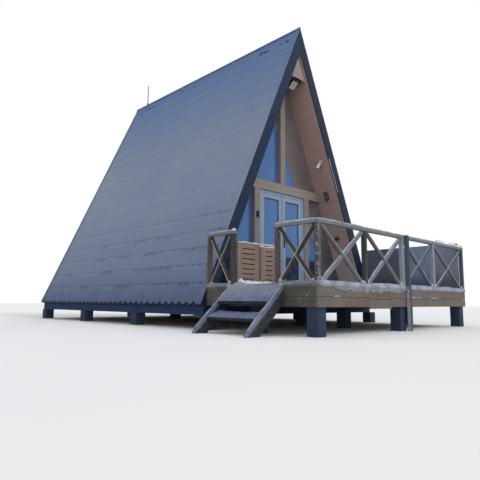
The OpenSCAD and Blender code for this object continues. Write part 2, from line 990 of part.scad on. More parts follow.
module support_pole() {
    outer = post_y - rail_w / 2;
    top_x = pole_x - pole_lean;
    color("dimgray")
    along_y(outer - pole_w, outer)
        polygon([[pole_x, 0], [pole_x + pole_w, 0], [top_x + pole_w, rail_top], [top_x, rail_top]]);
}

module ridge_mast() {
    y = roof_len - mast_in;
    foot_h = 40;
    color("black")
    translate([0, y, peak_z(-flashing_t)]) difference() {
        union() {
            cylinder(r = mast_r * 2, h = cap_roll_r + foot_h, $fn = 24);
            cylinder(r = mast_r, h = cap_roll_r + mast_h, $fn = 24);
        }
        rotate([90, 0, 0]) cylinder(r = cap_roll_r + seat_gap, h = 6 * mast_r, center = true, $fn = 32);
    }
}

cabin_piers();
side_beams();
cross_beams();
floor_panel();
cabin_floor();
roof_panel_left();
roof_panel_right();
roof_sheet_left();
roof_sheet_right();
lining_left();
lining_right();
ridge_cap();
front_verge_left();
front_verge_right();
rear_verge_left();
rear_verge_right();
front_posts();
front_beam();
king_post();
front_sills();
upper_lights();
side_lights();
door_frame();
door_hinges();
door_leaf_left();
door_leaf_right();
door_glass_left();
door_glass_right();
door_handle();
tie_board();
gable_panel();
floodlight();
soffit_lamp();
lantern();
switch_box();
key_box();
rear_wall();
rear_window();
rear_glass();
deck_piers();
deck_bearers();
deck_joists();
deck_fascia_front();
deck_fascia_sides();
deck_floor();
rail_posts();
handrail_front();
handrail_sides();
braces_front();
braces_sides();
wind_screen();
slat_screens();
stair_stringers();
stair_treads();
support_pole();
ridge_mast();
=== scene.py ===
import bpy
import random
import numpy as np
from functools import partialmethod
from math import atan, atan2, cos, exp, hypot, pi, radians, sin, sqrt
from mathutils import Vector, Matrix, noise

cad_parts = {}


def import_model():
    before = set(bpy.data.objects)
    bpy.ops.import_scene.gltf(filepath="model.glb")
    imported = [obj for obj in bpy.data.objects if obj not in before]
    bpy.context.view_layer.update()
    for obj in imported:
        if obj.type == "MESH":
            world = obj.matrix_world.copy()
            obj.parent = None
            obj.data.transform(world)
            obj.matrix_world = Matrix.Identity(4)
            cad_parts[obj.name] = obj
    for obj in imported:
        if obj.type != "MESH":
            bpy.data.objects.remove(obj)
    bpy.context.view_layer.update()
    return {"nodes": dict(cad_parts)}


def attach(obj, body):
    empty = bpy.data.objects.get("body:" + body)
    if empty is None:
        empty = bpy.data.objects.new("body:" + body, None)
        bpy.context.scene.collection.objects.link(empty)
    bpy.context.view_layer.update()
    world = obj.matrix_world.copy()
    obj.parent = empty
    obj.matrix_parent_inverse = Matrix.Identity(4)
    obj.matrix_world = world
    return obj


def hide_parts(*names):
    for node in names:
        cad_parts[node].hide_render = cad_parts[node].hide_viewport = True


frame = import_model()
N = frame["nodes"]
RNG = random.Random(11)
SCENE = bpy.context.scene

# Sizes in metres, as in the part's source
HALF_W, RISE, EAVE, ROOF_LEN = 2.59, 5.78, 0.40, 6.3
SLOPE = atan2(RISE, HALF_W)
SLOPE_LEN = hypot(RISE, HALF_W)
PEAK = EAVE + RISE
VERGE_T = 0.025
ROOF_T, ROOM_IN = 0.21, 0.2103
COURSE0, COURSE, STEP = 0.395, 0.35, 0.014
WAVES = 33
PITCH = (ROOF_LEN - 2 * VERGE_T) / WAVES
CAP_LEG, ROLL_R = 0.17, 0.024
DECK_X0, DECK_X1, DECK_Y, DECK_Z = -2.473, 2.307, -2.216, 0.685
BOARD_T, FASCIA_H, FASCIA_T, JOINT = 0.028, 0.272, 0.04, 0.004
ROW_H, FASCIA_Z = (FASCIA_H - JOINT) / 2, DECK_Z - BOARD_T - FASCIA_H
ROW_Z = (FASCIA_Z + ROW_H / 2, FASCIA_Z + ROW_H + JOINT + ROW_H / 2)
POST, POST_TOP, RAIL_TOP, RAIL_W = 0.065, 1.495, 1.54, 0.07
FRONT_Y = DECK_Y + POST / 2
LEFT_X, RIGHT_X = DECK_X0 + POST / 2, DECK_X1 - POST / 2
BAY = 1.138
FRONT_X = [LEFT_X, LEFT_X + BAY, LEFT_X + 2 * BAY, LEFT_X + 3 * BAY, RIGHT_X]
GATE = (-1.492, -0.592)
LEFT_Y = [FRONT_Y, GATE[0], GATE[1], -0.0355]
RIGHT_Y = [FRONT_Y, (FRONT_Y - 0.0355) / 2, -0.0355]
BRACE_W, BRACE_T = 0.058, 0.03
NEAR_BAYS = ("front0", "front1")
STAIR_Y, STAIR_T, STAIR_RUN, TOE = (-1.63, -0.55), 0.042, 0.765, 0.04
TREAD_D = 0.26
TREADS = [(DECK_X0 - 0.28, DECK_Z - 0.228), (DECK_X0 - 0.485, DECK_Z - 0.456)]
POLE_Y = FRONT_Y - RAIL_W / 2 - 0.03
SCREEN_X = (-1.825, -1.28, -0.85)
WALL_Y = 0.49


def slope_pt(s, d, y, side):
    """A point s up the slope from the eaves and d under the roof's outer face"""
    x = HALF_W - s * cos(SLOPE) - d * sin(SLOPE)
    return Vector((side * x, y, EAVE + s * sin(SLOPE) - d * cos(SLOPE)))


def roof_x(z, d):
    return HALF_W * (1 - (z - EAVE) / RISE) - d / sin(SLOPE)


def rough(x, y, z):
    return noise.noise(Vector((x, y, z)))


def clamp(v, lo=0.0, hi=1.0):
    return max(lo, min(hi, v))


def lin(c):
    """A colour as it shows on a screen, made linear for the shader"""
    return tuple(v / 12.92 if v <= 0.04045 else ((v + 0.055) / 1.055) ** 2.4 for v in c)


def mul(c, k):
    return tuple(min(1, x * k) for x in c)


class Wire:
    """An output of a node; sums and comparisons with it make math nodes"""

    def __init__(self, tree, socket):
        self.tree, self.socket = tree, socket

    def math(self, op, v=0.0):
        return self.tree.node("Math", enumerate((self, v)), operation=op)

    def __rsub__(self, v):
        return self * -1.0 + v

    __add__ = partialmethod(math, "ADD")
    __sub__ = partialmethod(math, "SUBTRACT")
    __mul__ = partialmethod(math, "MULTIPLY")
    __truediv__ = partialmethod(math, "DIVIDE")
    __pow__ = partialmethod(math, "POWER")
    __lt__ = partialmethod(math, "LESS_THAN")
    __gt__ = partialmethod(math, "GREATER_THAN")
    __abs__ = partialmethod(math, "ABSOLUTE")
    fract = partialmethod(math, "FRACT")
    floor = partialmethod(math, "FLOOR")


class Tree:
    """A node tree that is built up by short calls"""

    def __init__(self, tree):
        self.t = tree

    def node(self, kind, inputs=(), out=0, **props):
        """One output of a new node, with values or wires for its inputs by name or place"""
        n = self.t.nodes.new("ShaderNode" + kind)
        for k, v in props.items():
            setattr(n, k, v)
        for k, v in dict(inputs).items():
            self.put(n.inputs[k], v)
        return Wire(self, n.outputs[out])

    def put(self, socket, v):
        if isinstance(v, Wire):
            self.t.links.new(v.socket, socket)
        else:
            socket.default_value = (*lin(v), 1) if socket.type == "RGBA" else v

    def band(self, v, lo, hi, out0=0.0, out1=1.0):
        """v mapped from lo..hi to out0..out1, held at the ends"""
        return self.node("MapRange", enumerate((v, lo, hi, out0, out1)))


class Mat(Tree):
    """A material whose colour so far is col"""

    def __init__(self, roughness, spec):
        self.m = bpy.data.materials.new("material")
        self.m.use_nodes = True
        super().__init__(self.m.node_tree)
        self.set("Roughness", roughness)
        self.set("Specular IOR Level", spec)
        self.pos = self.node("TexCoord", out="Object")
        self.x, self.y, self.z = self.xyz(self.pos)
        self.col = None

    def set(self, key, v):
        self.put(self.t.nodes["Principled BSDF"].inputs[key], v)

    def xyz(self, vec):
        n = self.node("SeparateXYZ", {0: vec}).socket.node
        return [Wire(self, s) for s in n.outputs]

    def uv(self):
        return self.node("UVMap", uv_map="grain")

    def facing(self, k):
        """How far the face looks along axis k"""
        return self.xyz(self.node("NewGeometry", out="Normal"))[k]

    def scale(self, s, at=None, turn=(0, 0, 0)):
        return self.node("Mapping", {"Vector": at or self.pos, "Scale": s, "Rotation": turn})

    def noise(self, scale, detail=4.0, gain=0.5, dist=0.0, at=None):
        names = ("Vector", "Scale", "Detail", "Roughness", "Distortion")
        return self.node("TexNoise", zip(names, (at or self.pos, scale, detail, gain, dist)))

    def random(self, a, b=0.0):
        """A steady random number for whole numbers a and b"""
        cell = self.node("CombineXYZ", enumerate((a, b)))
        return self.node("TexWhiteNoise", {"Vector": cell}, noise_dimensions="2D")

    def mix(self, fac, a, b):
        return self.node("Mix", {0: fac, 6: a, 7: b}, 2, data_type="RGBA")

    def blend(self, v, a, b, lo=0.35, hi=0.65):
        """Colour a where v is below lo, b where it is above hi, and a mix between"""
        return self.mix(self.band(v, lo, hi), a, b)

    def lay(self, colour, by, *span):
        """Puts colour over what is there, by a factor or by the band of a value"""
        self.col = self.mix(self.band(by, *span) if span else by, self.col, colour)

    def bump(self, height, strength, dist):
        relief = {"Height": height, "Strength": strength, "Distance": dist}
        self.set("Normal", self.node("Bump", relief))

    def done(self):
        self.set("Base Color", self.col)
        return self.m


# x + y over the two outer faces of the corner post, from its outer edge inwards
CORNER_BAND = (LEFT_X + FRONT_Y - POST + 0.014, LEFT_X + FRONT_Y - POST + 0.048)
FROST = (0.56, 0.60, 0.67)
PALE = (0.66, 0.70, 0.78)
# Dark steel for the bare metal and painted shade on the roof
BARE_STEEL_AND_SHADE = (0.10, 0.12, 0.17)


def wood(dark, light, axis=None, frost=0.0, speck=0.0, boards=None, checks=0.5, side=None,
         low=None, tint=None, under=None, upright=1.0, spec=0.25):
    """Sawn wood. With no axis the grain follows each piece's own length. side is painted shade: the colour of
    the faces that look to -X, low fades to a colour near the ground, tint is a second pair of colours that
    pieces take by tone, under is painted shade that darkens what lies below a height, upright below 1 draws
    specks out upwards"""
    m = Mat(0.75, spec)
    own = axis is None
    at, k, across = (m.uv(), 0, 190) if own else (m.pos, axis, 170)
    tone = m.node("Attribute", out="Fac", attribute_name="tone") if own else m.noise(0.7, 2)
    thin = m.noise(1, 3, 0.6, 0.4, m.scale([7 if i == k else across for i in range(3)], at))
    broad = m.noise(1, 5, 0.55, 1.2, m.scale([2.2 if i == k else 34 for i in range(3)], at))
    grain = broad * 0.65 + thin * 0.35
    fac = m.band(grain, 0.34, 0.64)
    m.col = m.mix(fac, dark, light)
    if tint:
        m.lay(m.mix(fac, *tint), tone)
    else:
        m.lay(mul(light, 0.86), tone, 0, 1, 0, 0.45)
    m.lay(mul(dark, 0.9), m.noise(3.1, 4, 0.6), 0.45, 0.75, 0, 0.35)
    crack = m.band(thin, 0.24, 0.34, checks, 0)
    m.lay(mul(dark, 0.55), crack)
    height = grain - crack
    if boards:
        ax, pitch, off, strength = boards
        place = ((m.x, m.y, m.z)[ax] + off) / pitch
        line = m.band(abs(place.fract() - 0.5), 0.5 - 0.004 / pitch, 0.5 - 0.0015 / pitch)
        m.lay(mul(dark, 0.95), m.random(place.floor()), 0, 1, 0, 0.35)
        m.lay(mul(dark, 0.45), line * strength)
        height = height - line * 2.5
    if low:
        m.lay(low[2], m.z, low[0], low[1], 0.85, 0)
    # painted shade: faces that look to -X take the side colour
    if side:
        m.lay(m.mix(fac, mul(side, 0.88), mul(side, 1.1)), m.facing(0), -0.8, -0.6, 0.88, 0)
    # painted shade: darker below the given height, as under the snow on a rail
    if under:
        m.lay(mul(dark, 0.6), m.noise(30, 4, 0.7) * 0.04 + m.z, under, under + 0.006, 0.55, 0)
    if frost:
        rime = m.band(m.facing(2), 0.35, 0.8) * 0.45 + m.noise(19, 5, 0.65)
        m.lay(FROST, m.band(rime, 0.62, 0.85) * frost)
    if speck:
        spot = m.band(m.noise(62, 3, 0.7, at=m.scale((1, 1, upright))), 0.57, 0.66)
        where = m.band(m.noise(2.6, 2), 0.42, 0.60, 0, speck)
        if upright < 1:
            where = where * m.band(m.x + m.y, *CORNER_BAND, 1, 0.25)
        m.lay(PALE, spot * where)
    m.bump(height, 0.5, 0.0025)
    return m.done()


def plain(colour, roughness=0.5, vary=0.12, scale=8, metallic=0.0, bump=0.1, frost=0.0, spec=0.3):
    """Painted, moulded or cast surface with uneven colour and fine relief"""
    m = Mat(roughness, spec)
    broad, fine = m.noise(scale, 5, 0.6), m.noise(scale * 22, 3, 0.6)
    m.col = m.blend(broad, mul(colour, 1 - vary), mul(colour, 1 + vary), 0.3, 0.7)
    m.lay(mul(colour, 0.8), fine, 0.35, 0.65, 0, vary * 0.8)
    if frost:
        rime = m.noise(13, 6, 0.7) + m.band(m.facing(2), 0.1, 0.8, 0, 0.4)
        m.lay(FROST, m.band(rime, 0.58, 0.8) * frost)
    m.set("Metallic", metallic)
    m.set("Roughness", m.band(broad, 0.3, 0.7, roughness * 0.85, min(1, roughness * 1.15)))
    m.bump(broad * 0.4 + fine, bump, 0.001)
    return m.done()


def frost_in_shade_mat():
    """Frost on graphite steel, coloured with painted blue shade: bluer at the top of the roof and darker
    towards the eaves
    """
    m = Mat(0.65, 0.25)
    mid, fine = m.noise(3.5, 5, 0.6), m.noise(70, 4, 0.65)
    m.col = m.blend(m.noise(0.55, 3), (0.415, 0.475, 0.575), (0.445, 0.495, 0.58))
    m.lay((0.27, 0.385, 0.565), m.z, 3.6, 5.8, 0, 0.9)
    m.lay((0.36, 0.415, 0.525), m.z, 1.0, 2.6, 0.85, 0)
    m.lay((0.175, 0.255, 0.41), m.z, 0.4, 1.1, 0.85, 0)
    m.lay((0.47, 0.51, 0.58), mid, 0.35, 0.7, 0, 0.14)
    m.lay((0.56, 0.60, 0.68), fine, 0.4, 0.7, 0, 0.10)
    m.bump(fine * 0.5 + mid, 0.25, 0.002)
    return m


def tile_mat(butt=False):
    """Frosted tile sheet: bare metal and painted shade in the hollows along the courses and at the eaves, and
    painted shade on the butts low down
    """
    m = frost_in_shade_mat()
    u, v = m.xyz(m.uv())[:2]
    off = 0.5 - abs(u.fract() - 0.5)
    chance = m.random((u + 0.5).floor(), v.floor())
    near = m.band(m.y, 0.05, 3.4, 1, 0) ** 2.0
    low = m.band(m.z, 0.8, 2.6, 1, 0.03)
    seen = chance < (near * 1.2 + (0.16 if butt else 0.02)) * low
    if butt:
        part = m.band(m.noise(1, 4, 0.6, at=m.scale((1.7, 1, 1), m.uv())), 0.44, 0.60)
        # painted shade on the butts of the courses, in patches low on the roof
        m.lay((0.16, 0.19, 0.26), low * part * 0.85)
        # bare metal and painted shade in the hollows of the butts
        m.lay(BARE_STEEL_AND_SHADE, seen * (off < 0.20))
    else:
        # bare metal and painted shade just below the laps, in the hollows
        m.lay(BARE_STEEL_AND_SHADE, seen * (v.fract() > off * 0.22 + 0.945))
        tooth = 1.0 - off / (chance * 0.14 + 0.24)
        # bare metal and painted shade as dark teeth in the hollows at the eaves
        m.lay(BARE_STEEL_AND_SHADE, v < tooth * (chance * 0.06 + 0.13))
    return m.done()


def snow_mat(shade, light, high=None):
    """Snow, from its colour in shade to its colour in light; high is its painted lighter colour near the
    deck's height, for snow that runs down from there
    """
    m = Mat(0.85, 0.15)
    n = m.noise(6, 5, 0.55)
    m.col = m.blend(n, shade, light, 0.38, 0.68)
    # painted light: paler towards the deck's height
    if high:
        m.lay(high, m.z, DECK_Z - 0.18, DECK_Z + 0.02, 0, 0.9)
    # painted shade: darker on faces that do not look up
    m.lay(mul(shade, 0.85), m.facing(2), -0.2, 0.5, 0.6, 0)
    m.bump(n * 1.5 + m.noise(120, 3, 0.7) * 0.25, 0.5, 0.006)
    return m.done()


def deck_snow_mat():
    """Grey in the shade of the left side, paler along the front, with a dull crust at its lower edge"""
    m = Mat(0.85, 0.15)
    n = m.noise(7, 5, 0.6)
    m.col = m.blend(n, (0.37, 0.40, 0.46), (0.49, 0.52, 0.57), 0.38)
    m.lay(m.blend(n, (0.47, 0.50, 0.56), (0.62, 0.65, 0.70), 0.38), m.x, -2.46, -2.30)
    crust = m.band(m.noise(45, 4, 0.7), 0.50, 0.62, 0.55, 0)
    m.lay((0.38, 0.36, 0.36), crust * m.band(m.z, 0.66, 0.69, 1, 0))
    m.bump(n * 1.5 + m.noise(60, 4, 0.7), 0.6, 0.006)
    return m.done()


def glass_mat():
    """Panes with painted reflections: the sky's blue, the brown of the boarding beside them and the dark
    ground below
    """
    m = Mat(0.06, 0.3)
    wave = m.noise(2.2, 3)
    # painted reflection of the dark ground below the horizon
    ground_reflection = m.blend(m.noise(5, 4), (0.14, 0.18, 0.27), (0.24, 0.26, 0.31), 0.4)
    # painted reflection of the brown boarding beside the panes, darker low down
    wall = m.blend(wave, (0.47, 0.435, 0.435), (0.42, 0.395, 0.40))
    wall = m.mix(m.band(m.z, 1.45, 1.9, 0.5, 0), wall, (0.24, 0.23, 0.27))
    slant = 0.5225
    # painted reflection of the sky's blue
    m.col = m.blend(m.z, (0.275, 0.465, 0.69), (0.25, 0.365, 0.565), 1.3, 5.0)
    m.lay((0.31, 0.445, 0.62), wave, 0.4, 0.7, 0, 0.25)
    m.lay(ground_reflection, m.noise(9, 3) * 0.10 + m.z, 1.40, 1.43, 1, 0)
    # the boarding's painted reflection fills the panes beyond a slanting line
    m.lay(wall, m.z * slant + m.x - (0.208 + slant * 3.491), -0.004, 0.004)
    m.set("Alpha", 0.95)
    return m.done()


def gable_mat():
    """Pale panel with a tan board along the right slope and over its top"""
    m = Mat(0.75, 0.25)
    g = m.noise(1, 5, 0.55, 1.2, m.scale((2.2, 34, 34)))
    m.col = m.blend(g, (0.485, 0.48, 0.46), (0.57, 0.56, 0.54))
    m.lay((0.48, 0.48, 0.42), m.z, 5.14, 5.24, 0.5, 0)
    tan = m.blend(g, (0.47, 0.36, 0.33), (0.55, 0.43, 0.39))
    m.lay(tan, (m.z - 5.136) * 0.56 + m.x - 0.205, -0.003, 0.003)
    m.bump(g, 0.4, 0.002)
    return m.done()


def stringer_mat():
    """Dark boards with snow crust down from their upper edges"""
    m = Mat(0.8, 0.15)
    fall = DECK_Z / STAIR_RUN
    g = m.noise(1, 5, 0.6, 1.0, m.scale((6, 30, 30), turn=(0, radians(41.8), 0)))
    m.col = m.blend(g, (0.15, 0.16, 0.19), (0.25, 0.25, 0.275))
    depth = (m.x * fall + (DECK_Z - fall * DECK_X0) - m.z) * cos(atan(fall))
    rag = m.noise(16, 5, 0.65)
    edge = (rag - 0.5) * 0.10 + depth
    m.lay(m.blend(rag, (0.36, 0.395, 0.48), (0.49, 0.52, 0.60), 0.4, 0.6), edge, 0.028, 0.060, 0.95, 0)
    m.bump(g + m.band(edge, 0.030, 0.058, 3, 0), 0.5, 0.003)
    return m.done()


def pole_mat():
    """Dark weathered pole with a paler, rimed left face below the deck"""
    m = Mat(0.8, 0.2)
    g = m.noise(1, 5, 0.6, 1.0, m.scale((3, 40, 1), m.uv()))
    m.col = m.blend(g, (0.19, 0.22, 0.26), (0.275, 0.305, 0.35))
    pale = m.blend(m.noise(26, 5, 0.7), (0.36, 0.38, 0.41), (0.63, 0.66, 0.70), 0.36, 0.52)
    m.lay(pale, m.band(m.facing(0), -0.8, -0.6, 1, 0) * m.band(m.z, 0.64, 0.74, 0.9, 0.1))
    m.bump(g, 0.5, 0.003)
    return m.done()


def screen_mat():
    """Grey sheets of three tones behind the right railing"""
    m = Mat(0.6, 0.25)
    n, f = m.noise(2.5, 4, 0.6), m.noise(1, 4, 0.7, at=m.scale((20, 3, 60)))
    m.col = m.blend(m.y, (0.51, 0.52, 0.60), (0.48, 0.55, 0.66), -1.62, -1.52)
    m.lay((0.33, 0.36, 0.42), m.y, -1.02, -0.92)
    m.lay((0.24, 0.27, 0.34), m.z, 0.88, 1.10, 0.7, 0)
    m.lay((0.36, 0.39, 0.45), n, 0.4, 0.7, 0, 0.30)
    m.lay((0.57, 0.60, 0.66), f, 0.60, 0.75, 0, 0.35)
    m.bump(n + f, 0.2, 0.002)
    return m.done()


BROWN = ((0.235, 0.215, 0.205), (0.335, 0.30, 0.285))
TAN = ((0.485, 0.455, 0.43), (0.575, 0.54, 0.515))
NAVY = ((0.12, 0.18, 0.29), (0.17, 0.24, 0.365))
SOFFIT_LINES = (2, 0.14 * sin(SLOPE), 0.03, 0.18)
MAT = {
    "tile": tile_mat(),
    "tile_butt": tile_mat(True),
    # the ridge cap's frost, with the same painted blue shade as the roof
    "cap": frost_in_shade_mat().done(),
    "bare": plain((0.09, 0.11, 0.15), 0.6, spec=0.1),
    "verge": plain((0.115, 0.165, 0.25), 0.55, 0.10, 2.5, spec=0.12),
    "soffit": wood((0.65, 0.545, 0.515), (0.725, 0.615, 0.58), 1, checks=0.08,
                   boards=SOFFIT_LINES, low=(0.9, 2.1, (0.72, 0.68, 0.69))),
    # side: painted shade colour of the posts' faces that look to -X
    "post_v": wood(*TAN, 2, checks=0.15, side=(0.58, 0.52, 0.53),
                   boards=(0, 0.075, 0.0, 0.35), low=(1.9, 3.2, (0.47, 0.46, 0.445))),
    "beam_h": wood(*TAN, 0, checks=0.15),
    "gable": gable_mat(),
    "tie": wood((0.56, 0.46, 0.46), (0.65, 0.54, 0.53), 0, checks=0.1),
    "panel": wood((0.50, 0.41, 0.30), (0.60, 0.51, 0.39), 1),
    "floor": wood((0.48, 0.38, 0.29), (0.58, 0.47, 0.37), 1, boards=(0, 0.11, 0.0, 0.7)),
    "rear": wood(*TAN, 0, checks=0.2, boards=(2, 0.14, 0.02, 0.6)),
    "base": wood(*NAVY, 1, checks=0.2, spec=0.1),
    "base_x": wood(*NAVY, 0, checks=0.2, spec=0.1),
    "pier": plain((0.195, 0.24, 0.315), 0.85, 0.12, 5, bump=0.5, frost=0.15, spec=0.1),
    "rail": wood(*BROWN, frost=0.4, speck=0.45),
    "rail_dark": wood((0.155, 0.165, 0.175), (0.23, 0.23, 0.235), frost=0.3, speck=0.35),
    "rail_teal": wood((0.23, 0.275, 0.32), (0.31, 0.355, 0.40), frost=0.3),
    "rail_frost": wood((0.47, 0.49, 0.54), (0.57, 0.59, 0.64), frost=0.7, speck=0.4),
    # side: painted shade, darker on the faces that look to -X
    "corner": wood((0.20, 0.20, 0.215), (0.37, 0.37, 0.385), frost=0.9, speck=2.6,
                   side=(0.24, 0.24, 0.25), upright=0.35),
    # under: painted shade on the faces below the snow along the rail's top
    "handrail": wood((0.38, 0.385, 0.405), (0.47, 0.475, 0.50), frost=0.9, speck=0.6,
                     under=POST_TOP + 0.016),
    "brace": wood((0.155, 0.155, 0.165), (0.225, 0.215, 0.215), frost=0.25, speck=0.2),
    "brace_lit": wood((0.24, 0.225, 0.21), (0.345, 0.32, 0.29), frost=0.25, speck=0.3,
                      low=(0.75, 1.2, (0.40, 0.365, 0.31))),
    "brace_blue": wood((0.22, 0.24, 0.265), (0.31, 0.33, 0.36), frost=0.3, speck=0.3),
    "brace_frost": wood((0.345, 0.36, 0.40), (0.46, 0.475, 0.52), frost=0.8, speck=0.8),
    "fascia": wood((0.35, 0.345, 0.305), (0.435, 0.425, 0.375), frost=0.2, speck=0.25,
                   tint=((0.36, 0.295, 0.28), (0.43, 0.355, 0.34))),
    # darker copy of the fascia wood for the side boards: painted shade
    "fascia_l": wood((0.23, 0.22, 0.195), (0.315, 0.30, 0.27), frost=0.3, speck=0.9),
    "deck": wood((0.33, 0.30, 0.28), (0.44, 0.40, 0.37), frost=0.6, speck=0.4),
    "slat": wood((0.46, 0.39, 0.355), (0.60, 0.51, 0.47), frost=0.12),
    # a dark sheet behind the slats, painted shade for their gaps
    "slat_back": plain((0.17, 0.13, 0.125), 0.9, spec=0.05),
    "tread": wood((0.145, 0.13, 0.15), (0.215, 0.175, 0.195), frost=0.1, speck=0.2, spec=0.1),
    "stringer": stringer_mat(),
    "pole": pole_mat(),
    # white frames and leaves coloured blue-grey with painted shade
    "white": plain((0.505, 0.575, 0.66), 0.4, 0.04, 3, bump=0.03),
    "gasket": plain((0.16, 0.18, 0.22), 0.6),
    "glass": glass_mat(),
    "black": plain((0.09, 0.09, 0.115), 0.45, 0.2, 20, spec=0.2),
    "lantern": plain((0.235, 0.21, 0.275), 0.5, 0.15, 20, spec=0.2),
    "pane": plain((0.33, 0.31, 0.38), 0.15, 0.1, 30),
    "box": plain((0.30, 0.225, 0.25), 0.5, 0.1, 30),
    "lens": plain((0.58, 0.62, 0.57), 0.2, 0.06, 30, bump=0.05),
    "lamp": plain((0.74, 0.72, 0.67), 0.4, 0.06, 20, bump=0.03),
    "reflector": plain((0.56, 0.55, 0.51), 0.25, 0.08, 30, bump=0.03),
    "steel": plain((0.50, 0.51, 0.53), 0.4, 0.1, 60, metallic=0.8),
    # The next four are one snow coloured with painted light and shade: blue-grey in shade, darker where the
    # shade is deep, near white where sunlit
    "snow": snow_mat((0.53, 0.57, 0.63), (0.69, 0.71, 0.76)),
    "snow_blue": snow_mat((0.35, 0.40, 0.495), (0.45, 0.50, 0.605), high=(0.52, 0.55, 0.61)),
    "snow_stair": snow_mat((0.42, 0.46, 0.55), (0.53, 0.57, 0.65), high=(0.60, 0.62, 0.67)),
    "snow_lit": snow_mat((0.72, 0.74, 0.78), (0.84, 0.84, 0.84)),
    "cream": snow_mat((0.62, 0.60, 0.57), (0.72, 0.70, 0.68)),
    "snow_deck": deck_snow_mat(),
    "screen": screen_mat(),
}
for key, material in MAT.items():
    material.name = key


def link(name, data):
    o = bpy.data.objects.new(name, data)
    SCENE.collection.objects.link(o)
    return o


def circle(n):
    return [(cos(2 * pi * i / n), sin(2 * pi * i / n)) for i in range(n)]


def piece(name, verts, faces, mats, body="root", hides=(), uv=None, tone=None, smooth=False,
          index=None):
    """A mesh object that rides on a body and may stand in for nodes of the part"""
    me = bpy.data.meshes.new(name)
    me.from_pydata([tuple(v) for v in verts], [], faces)
    me.update()
    for k in mats if isinstance(mats, list) else [mats]:
        me.materials.append(MAT[k])
    if uv is not None:
        layer = me.uv_layers.new(name="grain")
        layer.data.foreach_set("uv", np.array(uv, np.float32).reshape(-1))
    if tone is not None:
        me.attributes.new("tone", "FLOAT", "POINT").data.foreach_set("value", np.array(tone, np.float32))
    if index is not None:
        me.polygons.foreach_set("material_index", np.array(index, np.int32))
    if smooth:
        me.polygons.foreach_set("use_smooth", np.ones(len(me.polygons), bool))
    o = link(name, me)
    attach(o, body)
    if hides:
        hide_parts(*hides)
    return o


def soften(o, w):
    b = o.modifiers.new("ease", "BEVEL")
    b.width, b.segments, b.limit_method, b.angle_limit = w, 2, "ANGLE", radians(40)


class Timber:
    """Sawn pieces in one mesh, each with eased edges, its grain along its length and a tone of its own"""

    def __init__(self):
        self.v, self.f, self.uv, self.tone = [], [], [], []

    def bar(self, a, b, w, t, up=(0, 0, 1), ease=0.003, seg=1, warp=0.0, tone=None):
        """From a to b, w wide across and t thick along up"""
        a, b, up = Vector(a), Vector(b), Vector(up)
        d = (b - a).normalized()
        side = d.cross(up).normalized()
        up = side.cross(d).normalized()
        hw, ht, e = w / 2, t / 2, min(ease, w / 4, t / 4)
        ring = [(-hw + e, -ht), (hw - e, -ht), (hw, -ht + e), (hw, ht - e)]
        ring += [(-x, -y) for x, y in ring]
        per = [0.0]
        for i in range(8):
            p, q = ring[i], ring[(i + 1) % 8]
            per.append(per[-1] + hypot(p[0] - q[0], p[1] - q[1]))
        length, base = (b - a).length, len(self.v)
        u0, v0 = RNG.uniform(0, 40), RNG.uniform(0, 40)
        tn = RNG.random() if tone is None else tone
        for k in range(seg + 1):
            c = a.lerp(b, k / seg)
            if 0 < k < seg:
                c += side * RNG.uniform(-warp, warp) + up * RNG.uniform(-warp, warp)
            for x, y in ring:
                self.v.append(c + side * x + up * y)
                self.tone.append(tn)
        for k in range(seg):
            u, w2 = u0 + length * k / seg, u0 + length * (k + 1) / seg
            for i in range(8):
                j, p, q = (i + 1) % 8, base + 8 * k, base + 8 * (k + 1)
                self.f.append((p + i, p + j, q + j, q + i))
                v1, v2 = v0 + per[i], v0 + per[i + 1]
                self.uv += [(u, v1), (u, v2), (w2, v2), (w2, v1)]
        for k, order in ((0, range(7, -1, -1)), (seg, range(8))):
            self.f.append(tuple(base + 8 * k + i for i in order))
            self.uv += [(u0 + ring[i][0] * 2, v0 + ring[i][1] * 2) for i in order]

    def make(self, name, mat, slot, hides=()):
        piece(name, self.v, self.f, mat, "root", hides, self.uv, self.tone)


BOX_FACES = [(0, 3, 2, 1), (4, 5, 6, 7), (0, 1, 5, 4), (1, 2, 6, 5), (2, 3, 7, 6), (3, 0, 4, 7)]


class Heap:
    """Meshes collected in one piece, shaded flat"""

    smooth = False

    def __init__(self):
        self.v, self.f = [], []

    def put(self, vf):
        k = len(self.v)
        self.v += vf[0]
        self.f += [tuple(i + k for i in g) for g in vf[1]]

    def slab(self, corners):
        """Eight corners: four round one face and the four opposite them"""
        self.put((corners, BOX_FACES))

    def box(self, lo, hi, place=None):
        around = ((lo[0], lo[1]), (hi[0], lo[1]), (hi[0], hi[1]), (lo[0], hi[1]))
        corners = [Vector((x, y, z)) for z in (lo[2], hi[2]) for x, y in around]
        self.slab([place @ v for v in corners] if place else corners)

    def rim(self, x, y, z, w, place=None):
        """Four bars w wide round the inside of a rectangle; x, y and z are its limits"""
        a, b = x[0] + w, x[1] - w
        for x0, x1, z0, z1 in ((x[0], a, *z), (b, x[1], *z), (a, b, z[0], z[0] + w), (a, b, z[1] - w, z[1])):
            self.box((x0, y[0], z0), (x1, y[1], z1), place)

    def rings(self, rings, closed=True):
        """Skin over rings of equal count, with flat ends if closed"""
        n = len(rings[0])
        V = [v for ring in rings for v in ring]
        F = []
        for k in range(len(rings) - 1):
            for i in range(n):
                j = (i + 1) % n
                F.append((k * n + i, k * n + j, (k + 1) * n + j, (k + 1) * n + i))
        if closed:
            F.append(tuple(range(n - 1, -1, -1)))
            F.append(tuple(range(len(V) - n, len(V))))
        self.put((V, F))

    def make(self, name, mat, slot=None, body="root"):
        return piece(name, self.v, self.f, mat, body, smooth=self.smooth)


